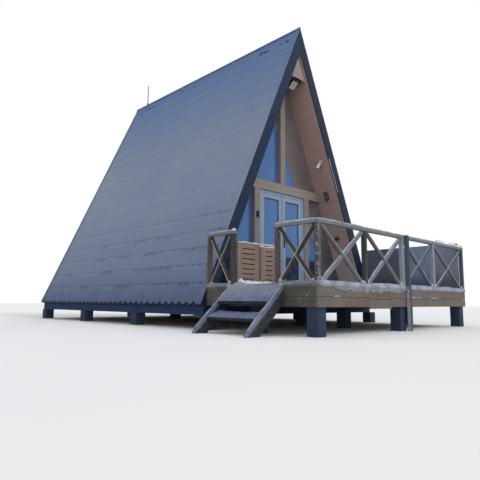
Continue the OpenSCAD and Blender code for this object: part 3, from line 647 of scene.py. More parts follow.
class Round(Heap):
    """Discs, and snow in lumps, ridges and sheets, shaded smooth"""

    smooth = True

    def disc(self, c, axis, r, h, n):
        """A short cylinder on c along axis, with an eased rim"""
        c, axis = Vector(c), Vector(axis).normalized()
        a = axis.orthogonal().normalized()
        b = axis.cross(a)
        sizes = ((r, 0), (r, h * 0.6), (r * 0.8, h))
        self.rings([[c + (a * x + b * y) * rr + axis * z for x, y in circle(n)] for rr, z in sizes])

    def blob(self, c, r, seed, uneven=0.25):
        """A lump that stands on c, half an ellipsoid with uneven radius"""
        last, rings = 6, []
        for i in range(last + 1):
            el = pi / 2 * i / last
            ring = []
            for x, y in circle(12):
                k = 1 + uneven * rough(x * 1.3 + seed, y * 1.3, el + seed)
                x, y = k * x * cos(el), k * y * cos(el)
                ring.append(Vector((c[0] + r[0] * x, c[1] + r[1] * y, c[2] + r[2] * k * sin(el))))
            rings.append(ring)
        self.rings(rings)

    def ridge(self, a, b, w, h, seed, gaps=0.0, side=None, up=None, rag=0.25, drape=0.0):
        """Rounded snow on a bar from a to b, uneven in width and height; gaps thins it out in places and
        drape lets its rims hang down"""
        a, b = Vector(a), Vector(b)
        d = (b - a).normalized()
        side = Vector(side) if side else d.cross(Vector((0, 0, 1))).normalized()
        up = Vector(up).normalized() if up else side.cross(d).normalized()
        if up.z < 0:
            side, up = -side, -up
        total = (b - a).length
        n = max(4, int(total / 0.025))
        rings = []
        for k in range(n + 1):
            r = total * k / n
            c = a.lerp(b, k / n)
            slow, fast = rough(r * 5 + seed, seed * 1.7, 0.3), rough(r * 17 + seed, seed * 0.7, 5.1)
            end = sqrt(clamp(min(r, total - r) / (w * 0.5)))
            hh = h * (1 + rag * 1.6 * slow + rag * fast) * end
            if gaps:
                hh *= clamp((rough(r * 1.9 + seed, 9.2, seed) + 0.75 - gaps) * 4)
            ww = w / 2 * (1 + rag * 0.5 * fast + rag * 0.6 * slow)
            ring = []
            for i in range(9):
                cx = cos(pi * i / 8)
                sy = sin(pi * i / 8) ** 0.7 if 0 < i < 8 else 0.0
                lump = 1 + 0.12 * rough(r * 30 + cx * 3, sy * 4 + seed, 2.0)
                hang = drape * clamp(0.55 + 1.5 * rough(r * 13 + seed * 3, cx * 2, 7.7)) * end * (i in (0, 8))
                ring.append(c + side * (cx * ww) + up * (sy * max(hh, 0.0004) * lump) - Vector((0, 0, hang)))
            rings.append(ring)
        self.rings(rings)

    def sheet(self, x0, x1, y0, y1, step, top, ground, rim, hang=None):
        """Snow over a rectangle: top(x, y) is its height, rim its overhang and hang(x, y) the droop of
        its edge, if any"""
        nx, ny = max(2, round((x1 - x0) / step)), max(2, round((y1 - y0) / step))
        w = nx + 1
        V, F = [], []
        for j in range(ny + 1):
            for i in range(w):
                x, y = x0 + (x1 - x0) * i / nx, y0 + (y1 - y0) * j / ny
                V.append(Vector((x, y, top(x, y))))
        for j in range(ny):
            for i in range(nx):
                F.append((j * w + i, j * w + i + 1, (j + 1) * w + i + 1, (j + 1) * w + i))
        loop = list(range(w)) + [j * w + nx for j in range(1, ny + 1)]
        loop += [ny * w + i for i in range(nx - 1, -1, -1)] + [j * w for j in range(ny - 1, 0, -1)]
        rings = [loop]
        for out, f in ((rim * 0.85, 0.35), (rim, 0.72), (rim * 0.6, 1.0)):
            ring = []
            for i in loop:
                v = V[i]
                ox = (abs(v.x - x1) < 1e-6) - (abs(v.x - x0) < 1e-6)
                oy = (abs(v.y - y1) < 1e-6) - (abs(v.y - y0) < 1e-6)
                droop = hang(v.x, v.y) if hang else 0.0
                z = v.z + (ground - droop - v.z) * f
                ring.append(len(V))
                V.append(Vector((v.x + ox * out, v.y + oy * out, z)))
            rings.append(ring)
        m = len(loop)
        for a, b in zip(rings, rings[1:]):
            F += [(a[(k + 1) % m], a[k], b[k], b[(k + 1) % m]) for k in range(m)]
        F.append(tuple(rings[-1]))
        self.put((V, F))


def bareness(s):
    """How far frost leaves the courses open: fully near the eaves, not at all higher up"""
    return 1 - clamp((EAVE + s * sin(SLOPE) - 0.7) / 1.5)


def tile_rows(s_end):
    """Lines up the slope from the eaves: place, depth, texture row, cut in the hollows, if it is a lip"""
    lap_cut, eaves_cut = 0.003, 0.042
    rows = []
    s0, k = 0.0, 0
    while s0 < s_end - 0.02:
        full = COURSE if k else COURSE0
        s1 = min(COURSE0 + COURSE * k, s_end)
        bare, above = bareness(s0), bareness(s1)
        cut = lap_cut * bare if k else eaves_cut
        if bare > 0 or not k:
            rows.append((s0, 0.0015 if k else 0.0060, float(k), cut, True))
        for t in (0.0, 0.10, 0.35, 0.7, 1.0):
            s = s0 + t * (s1 - s0)
            back = cut if t == 0.0 else lap_cut * above if t == 1.0 and s1 < s_end else 0.0
            depth = 0.001 + STEP * 0.28 * above * t
            rows.append((s, depth, k + t * (s1 - s0) / full * 0.999, back, False))
        s0, k = s1, k + 1
    return rows


def open_lap(y, course):
    """How far frost has left the lap over a course open at y, more often towards the front"""
    return clamp(3.5 * (rough(y * 1.3, course * 3.7, 2.0) + 0.12 - 0.07 * y), 0.04)


def tile_slope(side):
    """Waves that frost levels out 85 mm above the eaves, and courses that fade towards the ridge"""
    sub, amp = 8, 0.020
    cols = WAVES * sub + 1
    hollow = [clamp((abs(2 * ((j / sub) % 1) - 1) - 0.4) / 0.6) for j in range(cols)]
    s_end = SLOPE_LEN - 0.012
    rows = tile_rows(s_end)
    V, F, UV, IX = [], [], [], []
    for s, d, v, cut, lip in rows:
        flat = 0.05 + 0.95 * clamp(1 - s / 0.085)
        for j in range(cols):
            crest = (0.5 + 0.5 * cos(2 * pi * (j / sub - 0.5))) ** 0.85
            sj = min(s + cut * hollow[j], s_end)
            y = VERGE_T + PITCH * j / sub
            dj = d if lip else 0.001 + (d - 0.001) * open_lap(y, int(v))
            dj += amp * flat * (1 - crest) + 0.0006 * rough(j / sub * 0.4, s * 2, 3)
            V.append(slope_pt(sj, dj, y, side))
    for r in range(len(rows) - 1):
        butt = rows[r][4] or rows[r + 1][4]
        v0, v1 = rows[r][2], rows[r][2] if rows[r + 1][4] else rows[r + 1][2]
        for j in range(cols - 1):
            p, q, u = r * cols + j, (r + 1) * cols + j, j / sub
            quad = (p, p + 1, q + 1, q)
            uvs = [(u, v0), (u + 1 / sub, v0), (u + 1 / sub, v1), (u, v1)]
            F.append(quad if side > 0 else quad[::-1])
            UV += uvs if side > 0 else uvs[::-1]
            IX.append(int(butt))
    base = len(V)
    for s, d in ((0.004, 0.0395), (0.004, 0.045), (s_end, 0.045), (s_end, 0.0395)):
        V += [slope_pt(s, d, y, side) for y in (VERGE_T, ROOF_LEN - VERGE_T)]
    for f in ((0, 1, 3, 2), (2, 3, 5, 4), (4, 5, 7, 6), (6, 7, 1, 0), (0, 2, 4, 6), (1, 7, 5, 3)):
        F.append(tuple(base + i for i in f))
        UV += [(0.3, 0.3)] * 4
        IX.append(2)
    name = "right" if side > 0 else "left"
    o = piece("roof_tiles_" + name, V, F, ["tile", "tile_butt", "bare"],
              hides=("roof_sheet_" + name,), uv=UV, index=IX)
    o.data.polygons.foreach_set("use_smooth", np.array([ix == 0 for ix in IX]))


def slope_slab(s, d, y, side):
    """Corners of a flat piece on the slope between two lengths, two depths and two places along the roof"""
    around = ((s[0], y[0]), (s[1], y[0]), (s[1], y[1]), (s[0], y[1]))
    return [slope_pt(ss, dd, yy, side) for dd in d for ss, yy in around]


def eaves():
    """Drip edge behind the lowest waves, with a plug of snow in each hollow"""
    drip, plugs = Heap(), Heap()
    for side in (-1, 1):
        drip.slab(slope_slab((0.0, 0.07), (0.031, 0.039), (VERGE_T, ROOF_LEN - VERGE_T), side))
        for j in range(1, WAVES):
            y, w, top = VERGE_T + PITCH * j, RNG.uniform(0.010, 0.024), RNG.uniform(0.006, 0.018)
            outline = [(0.001, -w), (0.001, w), (top * 0.6, w * 0.35), (top, 0.0), (top * 0.55, -w * 0.4)]
            plugs.rings([[slope_pt(s, d, y + dy, side) for s, dy in outline] for d in (0.0215, 0.0305)])
    drip.make("drip_edge", "bare", "roof_metal")
    plugs.make("eaves_snow", "snow_blue")


def ridge():
    """Frost in the angles of the cap, bare spots, most of them near its ends, and the laps of its lengths"""
    bare = ((0.29, 0.045, 0.045), (0.45, 0.020, 0.045), (0.89, 0.075, 0.050), (1.06, 0.035, 0.075),
            (1.05, 0.035, 0), (3.46, 0.025, 0), (5.33, 0.035, 0), (5.50, 0.045, 0), (5.66, 0.035, 0),
            (6.09, 0.030, 0))
    fill, dark, laps = Heap(), Heap(), Heap()
    edge, foot = SLOPE_LEN - CAP_LEG, SLOPE_LEN - 0.045
    wedge = ((edge - 0.07, 0.004), (edge + 0.004, -0.0066), (edge + 0.004, 0.012), (edge - 0.07, 0.014))
    fillet = ((foot - 0.05, -0.0064), (foot + 0.012, -0.020), (foot + 0.02, -0.002), (foot - 0.05, -0.001))
    ends = (0.002, ROOF_LEN - 0.002)
    for side in (-1, 1):
        for shape in (wedge, fillet):
            fill.slab([slope_pt(s, d, y, side) for y in ends for s, d in shape])
        for y, w, drop in bare:
            reach = (edge - drop - 0.030, edge - drop + 0.006)
            proud = -0.0030 if drop else -0.0085
            dark.slab(slope_slab(reach, (proud, 0.004), (y - w, y + w), side))
    fill.make("ridge_frost", "cap", "roof_metal")
    dark.make("ridge_closers_bare", "bare", "roof_metal")
    r = ROLL_R + 0.0015
    outline = [slope_pt(edge - 0.002, -0.0075, 0, 1)]
    for i in range(13):
        a = radians(-25 + 230 * i / 12)
        outline.append(Vector((r * cos(a), 0, PEAK + 0.0145 + r * sin(a))))
    outline.append(slope_pt(edge - 0.002, -0.0075, 0, -1))
    n = len(outline)
    for y in (1.98, 3.96, 5.94):
        V = [Vector((p.x, yy, p.z)) for yy in (y, y + 0.09) for p in outline]
        laps.put((V, [(i, i + 1, n + i + 1, n + i) for i in range(n - 1)]))
    thick = laps.make("ridge_cap_laps", "cap", "roof_metal").modifiers.new("thick", "SOLIDIFY")
    thick.thickness = 0.0015


def verges():
    """Navy boards whose laps on the tiles are frosted, the joints of their lengths and rime on one edge"""
    boards = "front_verge_left front_verge_right rear_verge_left rear_verge_right"
    paint(boards, "verge")
    for n in boards.split():
        N[n].data.materials.append(MAT["cap"])
        for p in N[n].data.polygons:
            p.material_index = int(p.normal.z > 0.3 and abs(p.normal.x) > 0.5)
    joints, rime = Heap(), Round()
    for side in (-1, 1):
        for s in (2.0, 4.0):
            joints.slab(slope_slab((s, s + 0.05), (-0.005, ROOF_T - 0.001), (-0.0012, 0.0005), side))
    joints.make("verge_joints", "verge", "verge_metal")
    a, b = slope_pt(2.78, ROOF_T - 0.012, 0.0, 1), slope_pt(3.55, ROOF_T - 0.012, 0.0, 1)
    inward = (-sin(SLOPE), 0, -cos(SLOPE))
    rime.ridge(b, a, 0.026, 0.006, 3.3, 0.30, up=(0, -1, 0), side=inward)
    rime.make("verge_rime", "cream")


def paint(names, key):
    for n in names.split():
        o = N[n]
        o.data.materials.clear()
        o.data.materials.append(MAT[key])


def cabin():
    """Materials and eased edges of the nodes that show as they are"""
    paint("ridge_cap", "cap")
    paint("roof_panel_left roof_panel_right floor_panel", "panel")
    paint("lining_left lining_right", "soffit")
    paint("front_posts king_post", "post_v")
    paint("front_beam front_sills", "beam_h")
    paint("rear_wall", "rear")
    paint("gable_panel", "gable")
    paint("tie_board", "tie")
    paint("cabin_floor", "floor")
    paint("side_beams deck_joists", "base")
    paint("cross_beams deck_bearers", "base_x")
    paint("cabin_piers deck_piers", "pier")
    paint("door_frame door_leaf_left door_leaf_right rear_window", "white")
    paint("upper_lights side_lights door_glass_left door_glass_right rear_glass", "glass")
    paint("door_handle key_box floodlight ridge_mast", "black")
    paint("door_hinges", "steel")
    paint("lantern", "lantern")
    paint("switch_box", "box")
    paint("soffit_lamp", "lamp")
    paint("wind_screen", "screen")
    paint("stair_stringers", "stringer")
    for n in ("front_posts king_post front_beam front_sills tie_board cabin_piers deck_piers side_beams "
              "cross_beams stair_stringers").split():
        soften(N[n], 0.004)
    for n in "door_frame door_leaf_left door_leaf_right rear_window key_box switch_box wind_screen".split():
        soften(N[n], 0.002)


def posts():
    """Railing posts, grouped by their frost and colour"""
    kinds = ("corner", "rail_dark", "rail_frost", "rail_frost", "rail_teal")
    places = [(x, FRONT_Y, k) for x, k in zip(FRONT_X, kinds)]
    places += [(LEFT_X, y, k) for y, k in zip(LEFT_Y[1:], ("rail", "rail_dark", "rail"))]
    places += [(RIGHT_X, y, "rail") for y in RIGHT_Y[1:]]
    groups = {}
    for x, y, k in places:
        t = groups.setdefault(k, Timber())
        t.bar((x, y, DECK_Z), (x, y, POST_TOP), POST, POST, (0, 1, 0), 0.004, 5, 0.001)
    for k, t in groups.items():
        t.make("railing_posts_" + k, k, "rail_wood", ("rail_posts",) if k == "rail" else ())


def handrails():
    """Boards on the posts: two lengths in front, one at the right and two beside the gate"""
    z, t, splice = (POST_TOP + RAIL_TOP) / 2, RAIL_TOP - POST_TOP, 0.35
    start = FRONT_Y + RAIL_W / 2 + 0.001
    west, east = LEFT_X - RAIL_W / 2, RIGHT_X + RAIL_W / 2
    front, sides = Timber(), Timber()
    for x0, x1, seg in ((west, splice, 10), (splice + 0.002, east, 8)):
        front.bar((x0, FRONT_Y, z), (x1, FRONT_Y, z), RAIL_W, t, ease=0.004, seg=seg, warp=0.001)
    front.make("front_handrail", "handrail", "rail_wood", ("handrail_front",))
    for x, y0, y1 in ((LEFT_X, start, LEFT_Y[1] + POST / 2), (LEFT_X, LEFT_Y[2] - POST / 2, -0.003),
                      (RIGHT_X + 0.0025, start, -0.003)):
        sides.bar((x, y0, z), (x, y1, z), RAIL_W, t, ease=0.004, seg=6, warp=0.0008)
    sides.make("side_handrails", "handrail", "rail_wood", ("handrail_sides",))


class Brace:
    """A bar of an X: its ends, the way out of its panel, whether it falls, its bay, and the directions
    along and up across it"""

    def __init__(self, a, b, out, falls, bay):
        self.a, self.b, self.out, self.falls, self.bay = a, b, out, falls, bay
        self.d = (b - a).normalized()
        up = out.cross(self.d)
        self.up = up if up.z > 0 else -up


def bays():
    """Each braced bay, all but the gate: its name, the inner faces of its two posts and the way out"""
    half = POST / 2
    found = []
    for i in range(4):
        ends = (FRONT_X[i] + half, FRONT_Y), (FRONT_X[i + 1] - half, FRONT_Y)
        found.append(("front%d" % i, *ends, (0, -1, 0)))
    for name, x, ys, out in (("left", LEFT_X, LEFT_Y, -1), ("right", RIGHT_X, RIGHT_Y, 1)):
        for y0, y1 in zip(ys, ys[1:]):
            if (y0, y1) != GATE:
                found.append((name, (x, y0 + half), (x, y1 - half), (out, 0, 0)))
    return found


def brace_list():
    """Two bars corner to corner in each bay; the falling one lies over the rising one by a hair"""
    bars = []
    for bay, p, q, out in bays():
        for k, (z0, z1) in enumerate(((DECK_Z, POST_TOP), (POST_TOP, DECK_Z))):
            off = Vector(out) * (0.0006 * k)
            bars.append(Brace(Vector((*p, z0)) + off, Vector((*q, z1)) + off, Vector(out), bool(k), bay))
    return bars


def braces():
    groups = {}
    for b in BRACES:
        k = "brace"
        if b.bay.startswith("front"):
            k = ("brace_lit" if b.falls else "brace_frost") if b.bay in NEAR_BAYS else "brace_blue"
        t = groups.setdefault(k, Timber())
        t.bar(b.a, b.b, BRACE_W, BRACE_T - 0.0006, b.out, 0.003, 4, 0.0005)
    hides = {"brace": ("braces_sides",), "brace_blue": ("braces_front",)}
    for k, t in groups.items():
        t.make("railing_" + k, k, "rail_wood", hides.get(k, ()))


def deck_boards():
    deck = Timber()
    pitch, w, z, door = 0.1385, 0.132, DECK_Z - BOARD_T / 2, 0.704
    y = DECK_Y + 0.067

    def board(x0, x1):
        deck.bar((x0, y, z), (x1, y, z), w, BOARD_T, seg=4, warp=0.0006)

    while y < 0.0:
        cut = RNG.choice((-0.9, 0.1, 0.9))
        board(DECK_X0, cut)
        board(cut + 0.003, DECK_X1)
        y += pitch
    while y < WALL_Y:
        r = roof_x(DECK_Z, ROOM_IN) - 0.012
        board(-r, r)
        y += pitch
    deck.bar((-door, WALL_Y + 0.015, z), (door, WALL_Y + 0.015, z), BOARD_T, BOARD_T)
    deck.make("deck_boards", "deck", "deck_wood", ("deck_floor",))


def screw_pair(screws, x, y, z, out):
    for dz in (-0.04, 0.04):
        screws.disc((x, y, z + dz), out, 0.0045, 0.0012, 8)


def front_fascia(screws):
    """Two boards high; the lower row is of short lengths, two of them slipped down, and the board above
    those two reaches down to them"""
    slip = 0.026
    lower = [(DECK_X0, 0.25, 0), (-1.959, 0.55, 0), (-1.848, 1.0, 0), (-1.222, 0.0, slip),
             (-1.082, 0.05, slip), (-0.586, 0.55, 0), (0.62, 0.2, 0), (DECK_X1, 0, 0)]
    upper = [(DECK_X0, 0.35, 0), (-1.222, 0.95, slip), (-0.586, 0.5, 0), (1.25, 0.7, 0), (DECK_X1, 0, 0)]
    front = Timber()
    y = DECK_Y + FASCIA_T / 2
    for mid, row in zip(ROW_Z, (lower, upper)):
        for (a, tone, drop), (b, _, _) in zip(row, row[1:]):
            z, tall = mid - drop, ROW_H
            if row is upper:
                z, tall = mid - drop / 2, ROW_H + drop
            ends = (a + 0.001, y, z), (b - 0.001, y, z)
            front.bar(*ends, tall, FASCIA_T, (0, -1, 0), seg=4, warp=0.0007, tone=tone)
            n = max(1, round((b - a) / 0.62))
            for i in range(n + 1):
                x = a + 0.03 + (b - a - 0.06) * i / n
                screw_pair(screws, x, DECK_Y + 0.0002, z, (0, -1, 0))
    front.make("front_fascia", "fascia", "fascia_wood", ("deck_fascia_front",))


def side_fascias(screws):
    sides = Timber()
    for x, o in ((DECK_X0 + FASCIA_T / 2, -1), (DECK_X1 - FASCIA_T / 2, 1)):
        for z in ROW_Z:
            ends = (x, DECK_Y + FASCIA_T + 0.001, z), (x, -0.001, z)
            sides.bar(*ends, ROW_H, FASCIA_T, (1, 0, 0), seg=4, warp=0.0007)
            for y in (DECK_Y + 0.09, DECK_Y + 0.8, -0.75, -0.06):
                screw_pair(screws, x + o * 0.0198, y, z, (o, 0, 0))
    # the side boards take the darker copy of the fascia wood, painted shade
    sides.make("side_fascias", "fascia_l", "fascia_wood", ("deck_fascia_sides",))


def fascias():
    screws = Round()
    front_fascia(screws)
    side_fascias(screws)
    screws.make("fascia_screws", "steel", "steel")


def slat_panel(t, back, x0, x1, y, h):
    """Frame, seven slats and a dark sheet behind them: painted shade for their gaps"""
    stile, rail, gap, count, depth = 0.12, 0.06, 0.016, 7, 0.04
    one = (h - 2 * rail - (count + 1) * gap) / count
    for x in (x0 + stile / 2, x1 - stile / 2):
        t.bar((x, y, DECK_Z), (x, y, DECK_Z + h), stile, depth, (0, 1, 0), 0.002, 3, 0.0005)
    left, right = x0 + stile - 0.004, x1 - stile + 0.004
    for z in (DECK_Z + rail / 2, DECK_Z + h - rail / 2):
        t.bar((left, y, z), (right, y, z), depth - 0.002, rail, (0, 0, 1), 0.002, 2, 0.0005)
    for i in range(count):
        z = DECK_Z + rail + gap + i * (one + gap) + one / 2
        t.bar((left, y - 0.004, z), (right, y - 0.004, z), one, 0.024, (0, 1, 0), 0.002, 4, 0.0015)
    # dark sheet behind the slats: painted shade for their gaps
    back.box((left, y + 0.010, DECK_Z + rail - 0.002), (right, y + 0.013, DECK_Z + h - rail + 0.002))


def slat_screens():
    t, back = Timber(), Heap()
    slat_panel(t, back, SCREEN_X[0], SCREEN_X[1], -0.023, 0.75)
    slat_panel(t, back, SCREEN_X[1], SCREEN_X[2], -0.063, 0.735)
    z = DECK_Z + 0.765
    ends = (SCREEN_X[0], -0.023, z), (SCREEN_X[2], -0.023, z)
    t.bar(*ends, 0.04, 0.03, ease=0.003, seg=4, warp=0.0008)
    t.make("slatted_screens", "slat", "slat_wood", ("slat_screens",))
    back.make("slat_gap_shade_sheet", "slat_back", "slat_wood")


def treads():
    t = Timber()
    y0, y1 = STAIR_Y[0] + STAIR_T, STAIR_Y[1] - STAIR_T
    for front, top in TREADS:
        for k in (0, 1):
            x, z = front + TREAD_D / 4 * (1 + 2 * k), top - STAIR_T / 2
            t.bar((x, y0, z), (x, y1, z), TREAD_D / 2 - 0.003, STAIR_T, seg=4, warp=0.001)
    t.make("tread_boards", "tread", "rail_wood", ("stair_treads",))


def pole():
    p = Timber()
    p.bar((-0.080, POLE_Y, 0.0), (-0.105, POLE_Y, RAIL_TOP), 0.0599, 0.0599, (0, 1, 0), 0.005, 10, 0.0)
    p.v = [Vector((v.x, v.y, clamp(v.z, 0.0, RAIL_TOP))) for v in p.v]
    p.make("prop_pole", "pole", "rail_wood", ("support_pole",))


def floodlight():
    """Bezel, lens and fins on the tilted housing"""
    middle, tilt = (0, 0.21, 4.996), radians(45)
    place = Matrix.Translation(middle) @ Matrix.Rotation(tilt, 4, "X")
    w, d, rim = 0.1, 0.016, 0.012
    inner = w - rim
    bezel, lens, fins = Heap(), Heap(), Heap()
    bezel.rim((-w, w), (-d - 0.005, -d), (-w, w), rim, place)
    lens.box((-inner, -d - 0.003, -inner), (inner, -d - 0.0002, inner), place)
    for i in range(9):
        x = -0.076 + 0.019 * i
        fins.box((x - 0.0015, d, -0.085), (x + 0.0015, d + 0.012, 0.085), place)
    soften(bezel.make("floodlight_bezel", "black", "black_metal"), 0.001)
    lens.make("floodlight_lens", "lens", "glass")
    fins.make("floodlight_fins", "black", "black_metal")


def on_soffit(y, z):
    """Axes of a fitting on the right soffit: x up the slope, z out of the face"""
    turn = Matrix.Rotation(SLOPE - pi, 4, "Y")
    return Matrix.Translation((roof_x(z, ROOM_IN), y, z)) @ turn


def soffit_lamp():
    """Glass in the mouth of the spotlight and two bands round its body"""
    tilt = Matrix.Rotation(radians(-26), 4, "Y")
    place = on_soffit(0.215, EAVE + 3.13) @ Matrix.Translation((0, 0, 0.01)) @ tilt
    glow, bands = Round(), Round()
    n, r = 32, 0.0375
    glow.disc(place @ Vector((0, 0, 0.235)), place.to_3x3() @ Vector((0, 0, 1)), 0.034, 0.003, n)
    for z in (0.075, 0.150):
        sizes = (r, z), (r + 0.0017, z + 0.002), (r + 0.0017, z + 0.006), (r, z + 0.008)
        band = [[place @ Vector((rr * x, rr * y, zz)) for x, y in circle(n)] for rr, zz in sizes]
        bands.rings(band, closed=False)
    glow.make("soffit_lamp_glass", "reflector", "lamp_white")
    bands.make("soffit_lamp_rings", "reflector", "lamp_white")


def lantern():
    """Glass panes in the six sides, between their bars"""
    r, length, z = 0.05, 0.236, EAVE + 2.42
    lo, hi, z0, z1 = 0.7 * r, 0.9 * r, 0.2 * length, 0.8 * length
    centre = Matrix.Translation((-length / 2, 0, 0.012 + r)) @ Matrix.Rotation(pi / 2, 4, "Y")
    place = on_soffit(0.274, z) @ centre
    panes = Heap()
    for i in range(6):
        a0, a1 = pi / 3 * i, pi / 3 * (i + 1)
        out = Vector((cos((a0 + a1) / 2), sin((a0 + a1) / 2), 0)) * 0.001
        V = []
        for f, order in ((0.08, (0.14, 0.86)), (0.92, (0.86, 0.14))):
            rr, zz = lo + (hi - lo) * f, z0 + (z1 - z0) * f
            p, q = (Vector((rr * cos(a), rr * sin(a), zz)) for a in (a0, a1))
            V += [place @ (p.lerp(q, g) + out) for g in order]
        panes.put((V, [(0, 1, 2, 3)]))
    panes.make("lantern_panes", "pane", "glass")


def boxes():
    """Lid and rockers of the box on the soffit, buttons of the one beside the doors"""
    lid, keys = Heap(), Heap()
    place = on_soffit(0.31, EAVE + 1.5)
    lid.box((-0.031, -0.040, 0.05), (0.031, 0.040, 0.053), place)
    for y0, y1 in ((-0.030, -0.004), (0.004, 0.030)):
        lid.box((-0.020, y0, 0.053), (0.020, y1, 0.056), place)
    soften(lid.make("switch_box_lid", "box", "black_metal"), 0.0008)
    x, y, z = -0.78, WALL_Y - 0.045, DECK_Z + 1.48
    for r in range(4):
        for c in range(2):
            x0, z0 = x - 0.013 + 0.015 * c, z + 0.030 - 0.018 * r
            keys.box((x0, y - 0.002, z0), (x0 + 0.011, y, z0 + 0.012))
    keys.make("key_box_buttons", "steel", "steel")


def seals():
    """Thin dark seals round the panes of the door leaves, inside and out"""
    x0, x1, z0, z1, w = 0.108, 0.539, 0.808, 2.549, 0.009
    for body, sx in (("leaf_right", 1), ("leaf_left", -1)):
        h = Heap()
        for y in ((0.5245, 0.527), (0.588, 0.5905)):
            h.rim(sorted((sx * x0, sx * x1)), y, (z0, z1), w)
        h.make("door_seals_" + body[5:], "gasket", "black_metal", body=body)


def deck_top(x, y):
    """Height of the snow on the deck: drifts at the posts, trodden thin at the gate"""
    h = 0.058 + 0.016 * rough(x * 2.2, y * 2.2, 1.0) + 0.008 * rough(x * 9, y * 9, 4.0)
    feet = [(a, FRONT_Y) for a in FRONT_X] + [(LEFT_X, b) for b in LEFT_Y] + [(RIGHT_X, b) for b in RIGHT_Y]
    for px, py in feet:
        h += 0.020 * exp(-((x - px) ** 2 + (y - py) ** 2) / 0.006)
    if x < -1.9 and GATE[0] < y < GATE[1]:
        path = clamp((-1.9 - x) / 0.3) * clamp((GATE[1] - y) / 0.18) * clamp((y - GATE[0]) / 0.1)
        h += path * (0.024 - h)
    edge = min(x - DECK_X0, DECK_X1 - x, y - DECK_Y)
    if edge < 0.04:
        h *= 0.55 + 0.45 * sqrt(clamp(1 - (1 - edge / 0.04) ** 2))
    return DECK_Z + max(0.010, h)


def deck_hang(x, y):
    """Droop of the snow at the deck's edge: ragged teeth left of the prop pole, little elsewhere"""
    if y > -0.02:
        return 0.0
    if x > DECK_X0 + 0.01 and y < DECK_Y + 0.01:
        deep = 0.026 + 0.052 * clamp((x + 2.25) / 0.35) * clamp((0.05 - x) / 0.45)
        teeth = 0.034 * rough(x * 11, 3.3, 2.0) + 0.034 * rough(x * 37, 7.1, 3.0)
        return max(0.006, deep + teeth * clamp((0.1 - x) / 0.3, 0.15) * clamp((x + 2.40) / 0.25, 0.2))
    return max(0.003, 0.006 + 0.012 * rough(y * 15, 1.0, 2.0))


def porch_top(x, y):
    return DECK_Z + 0.030 + 0.010 * rough(x * 3, y * 3, 1.0) - 0.03 * max(0, y)


def deck_snow():
    cover, ledge = Round(), Round()
    cover.sheet(DECK_X0, DECK_X1, DECK_Y, -0.006, 0.018, deck_top, DECK_Z, 0.009, deck_hang)
    cover.sheet(-2.19, 2.19, -0.006, WALL_Y - 0.05, 0.04, porch_top, DECK_Z, 0.004)
    cover.make("deck_snow", "snow_deck")
    y, z = DECK_Y - 0.001, DECK_Z - BOARD_T - FASCIA_H / 2
    for a, b, h in ((0.06, 0.42, 0.026), (0.75, 1.08, 0.018), (-2.14, -1.98, 0.020)):
        ledge.ridge((a, y, z), (b, y, z), 0.014, h, a * 3, rag=0.5)
    ledge.make("fascia_ledge_snow", "snow")


def ramp_top(x, y):
    """Snow from the deck's edge down over the first tread"""
    start, (front, tread) = DECK_X0 + 0.03, TREADS[0]
    t = clamp((start - x) / (start - front))
    upper, lower = DECK_Z + 0.026, tread + 0.030
    z = upper + (lower - upper) * (0.45 * t * t * (3 - 2 * t) + 0.55 * t)
    z += 0.012 * rough(x * 7, y * 7, 1.4) + 0.006 * rough(x * 22, y * 22, 3.0)
    z += 0.035 * exp(-((y + 0.70) / 0.10) ** 2) * (1 - t)
    e = clamp((x - front) / 0.035)
    return max(tread + 0.004, z - 0.022 * (1 - sqrt(1 - (1 - e) ** 2)))


def shelf_top(x, y):
    """Snow on the second tread: thin in front, deeper behind, sagging in the middle"""
    back = clamp((x - TREADS[1][0]) / 0.24)
    along = clamp((y - STAIR_Y[0]) / (STAIR_Y[1] - STAIR_Y[0]))
    z = TREADS[1][1] + 0.014 + (0.085 - 0.020 * sin(pi * along)) * back ** 0.8
    return z + 0.007 * rough(x * 8, y * 8, 6.0)


def shelf_hang(x, y):
    return 0.012 * clamp(rough(y * 9, 2.0, 5.0) * 3) if x < TREADS[1][0] else 0.0


def stair_snow():
    y0, y1 = STAIR_Y[0] + STAIR_T + 0.002, STAIR_Y[1] - STAIR_T - 0.002
    first, second = TREADS
    drift, tops = Round(), Round()
    drift.sheet(first[0] - 0.004, DECK_X0 + 0.03, y0, y1, 0.02, ramp_top, first[1], 0.003)
    drift.sheet(second[0] - 0.004, second[0] + 0.25, y0, y1, 0.02, shelf_top, second[1], 0.003, shelf_hang)
    foot = DECK_X0 - STAIR_RUN + TOE + 0.033
    for y, seed in ((STAIR_Y[0] + STAIR_T / 2, 1.0), (STAIR_Y[1] - STAIR_T / 2, 2.0)):
        upper, lower = (DECK_X0 - 0.004, y, DECK_Z + 0.002), (foot, y, 0.068)
        tops.ridge(upper, lower, 0.046, 0.020, seed, rag=0.35, drape=0.008)
        tops.blob((DECK_X0 - 0.03, y, DECK_Z - 0.03), (0.055, 0.028, 0.055), seed)
    drift.make("stair_snow", "snow_blue")
    tops.make("stringer_snow", "snow_stair")


def rail_snow():
    z = RAIL_TOP
    caps = Round()
    caps.ridge((LEFT_X - 0.032, FRONT_Y, z), (1.32, FRONT_Y, z), 0.068, 0.026, 4.0, drape=0.012)
    caps.ridge((LEFT_X, FRONT_Y + 0.02, z), (LEFT_X, LEFT_Y[1] + 0.03, z), 0.068, 0.024, 5.0, drape=0.012)
    caps.ridge((LEFT_X, LEFT_Y[2] - 0.03, z), (LEFT_X, -0.006, z), 0.068, 0.026, 6.0, drape=0.012)
    caps.ridge((RIGHT_X, FRONT_Y + 0.03, z), (RIGHT_X, -0.006, z), 0.060, 0.034, 7.0)
    caps.ridge((-0.135, POLE_Y, z), (-0.075, POLE_Y, z), 0.052, 0.020, 8.0, rag=0.1)
    caps.make("rail_snow", "snow")


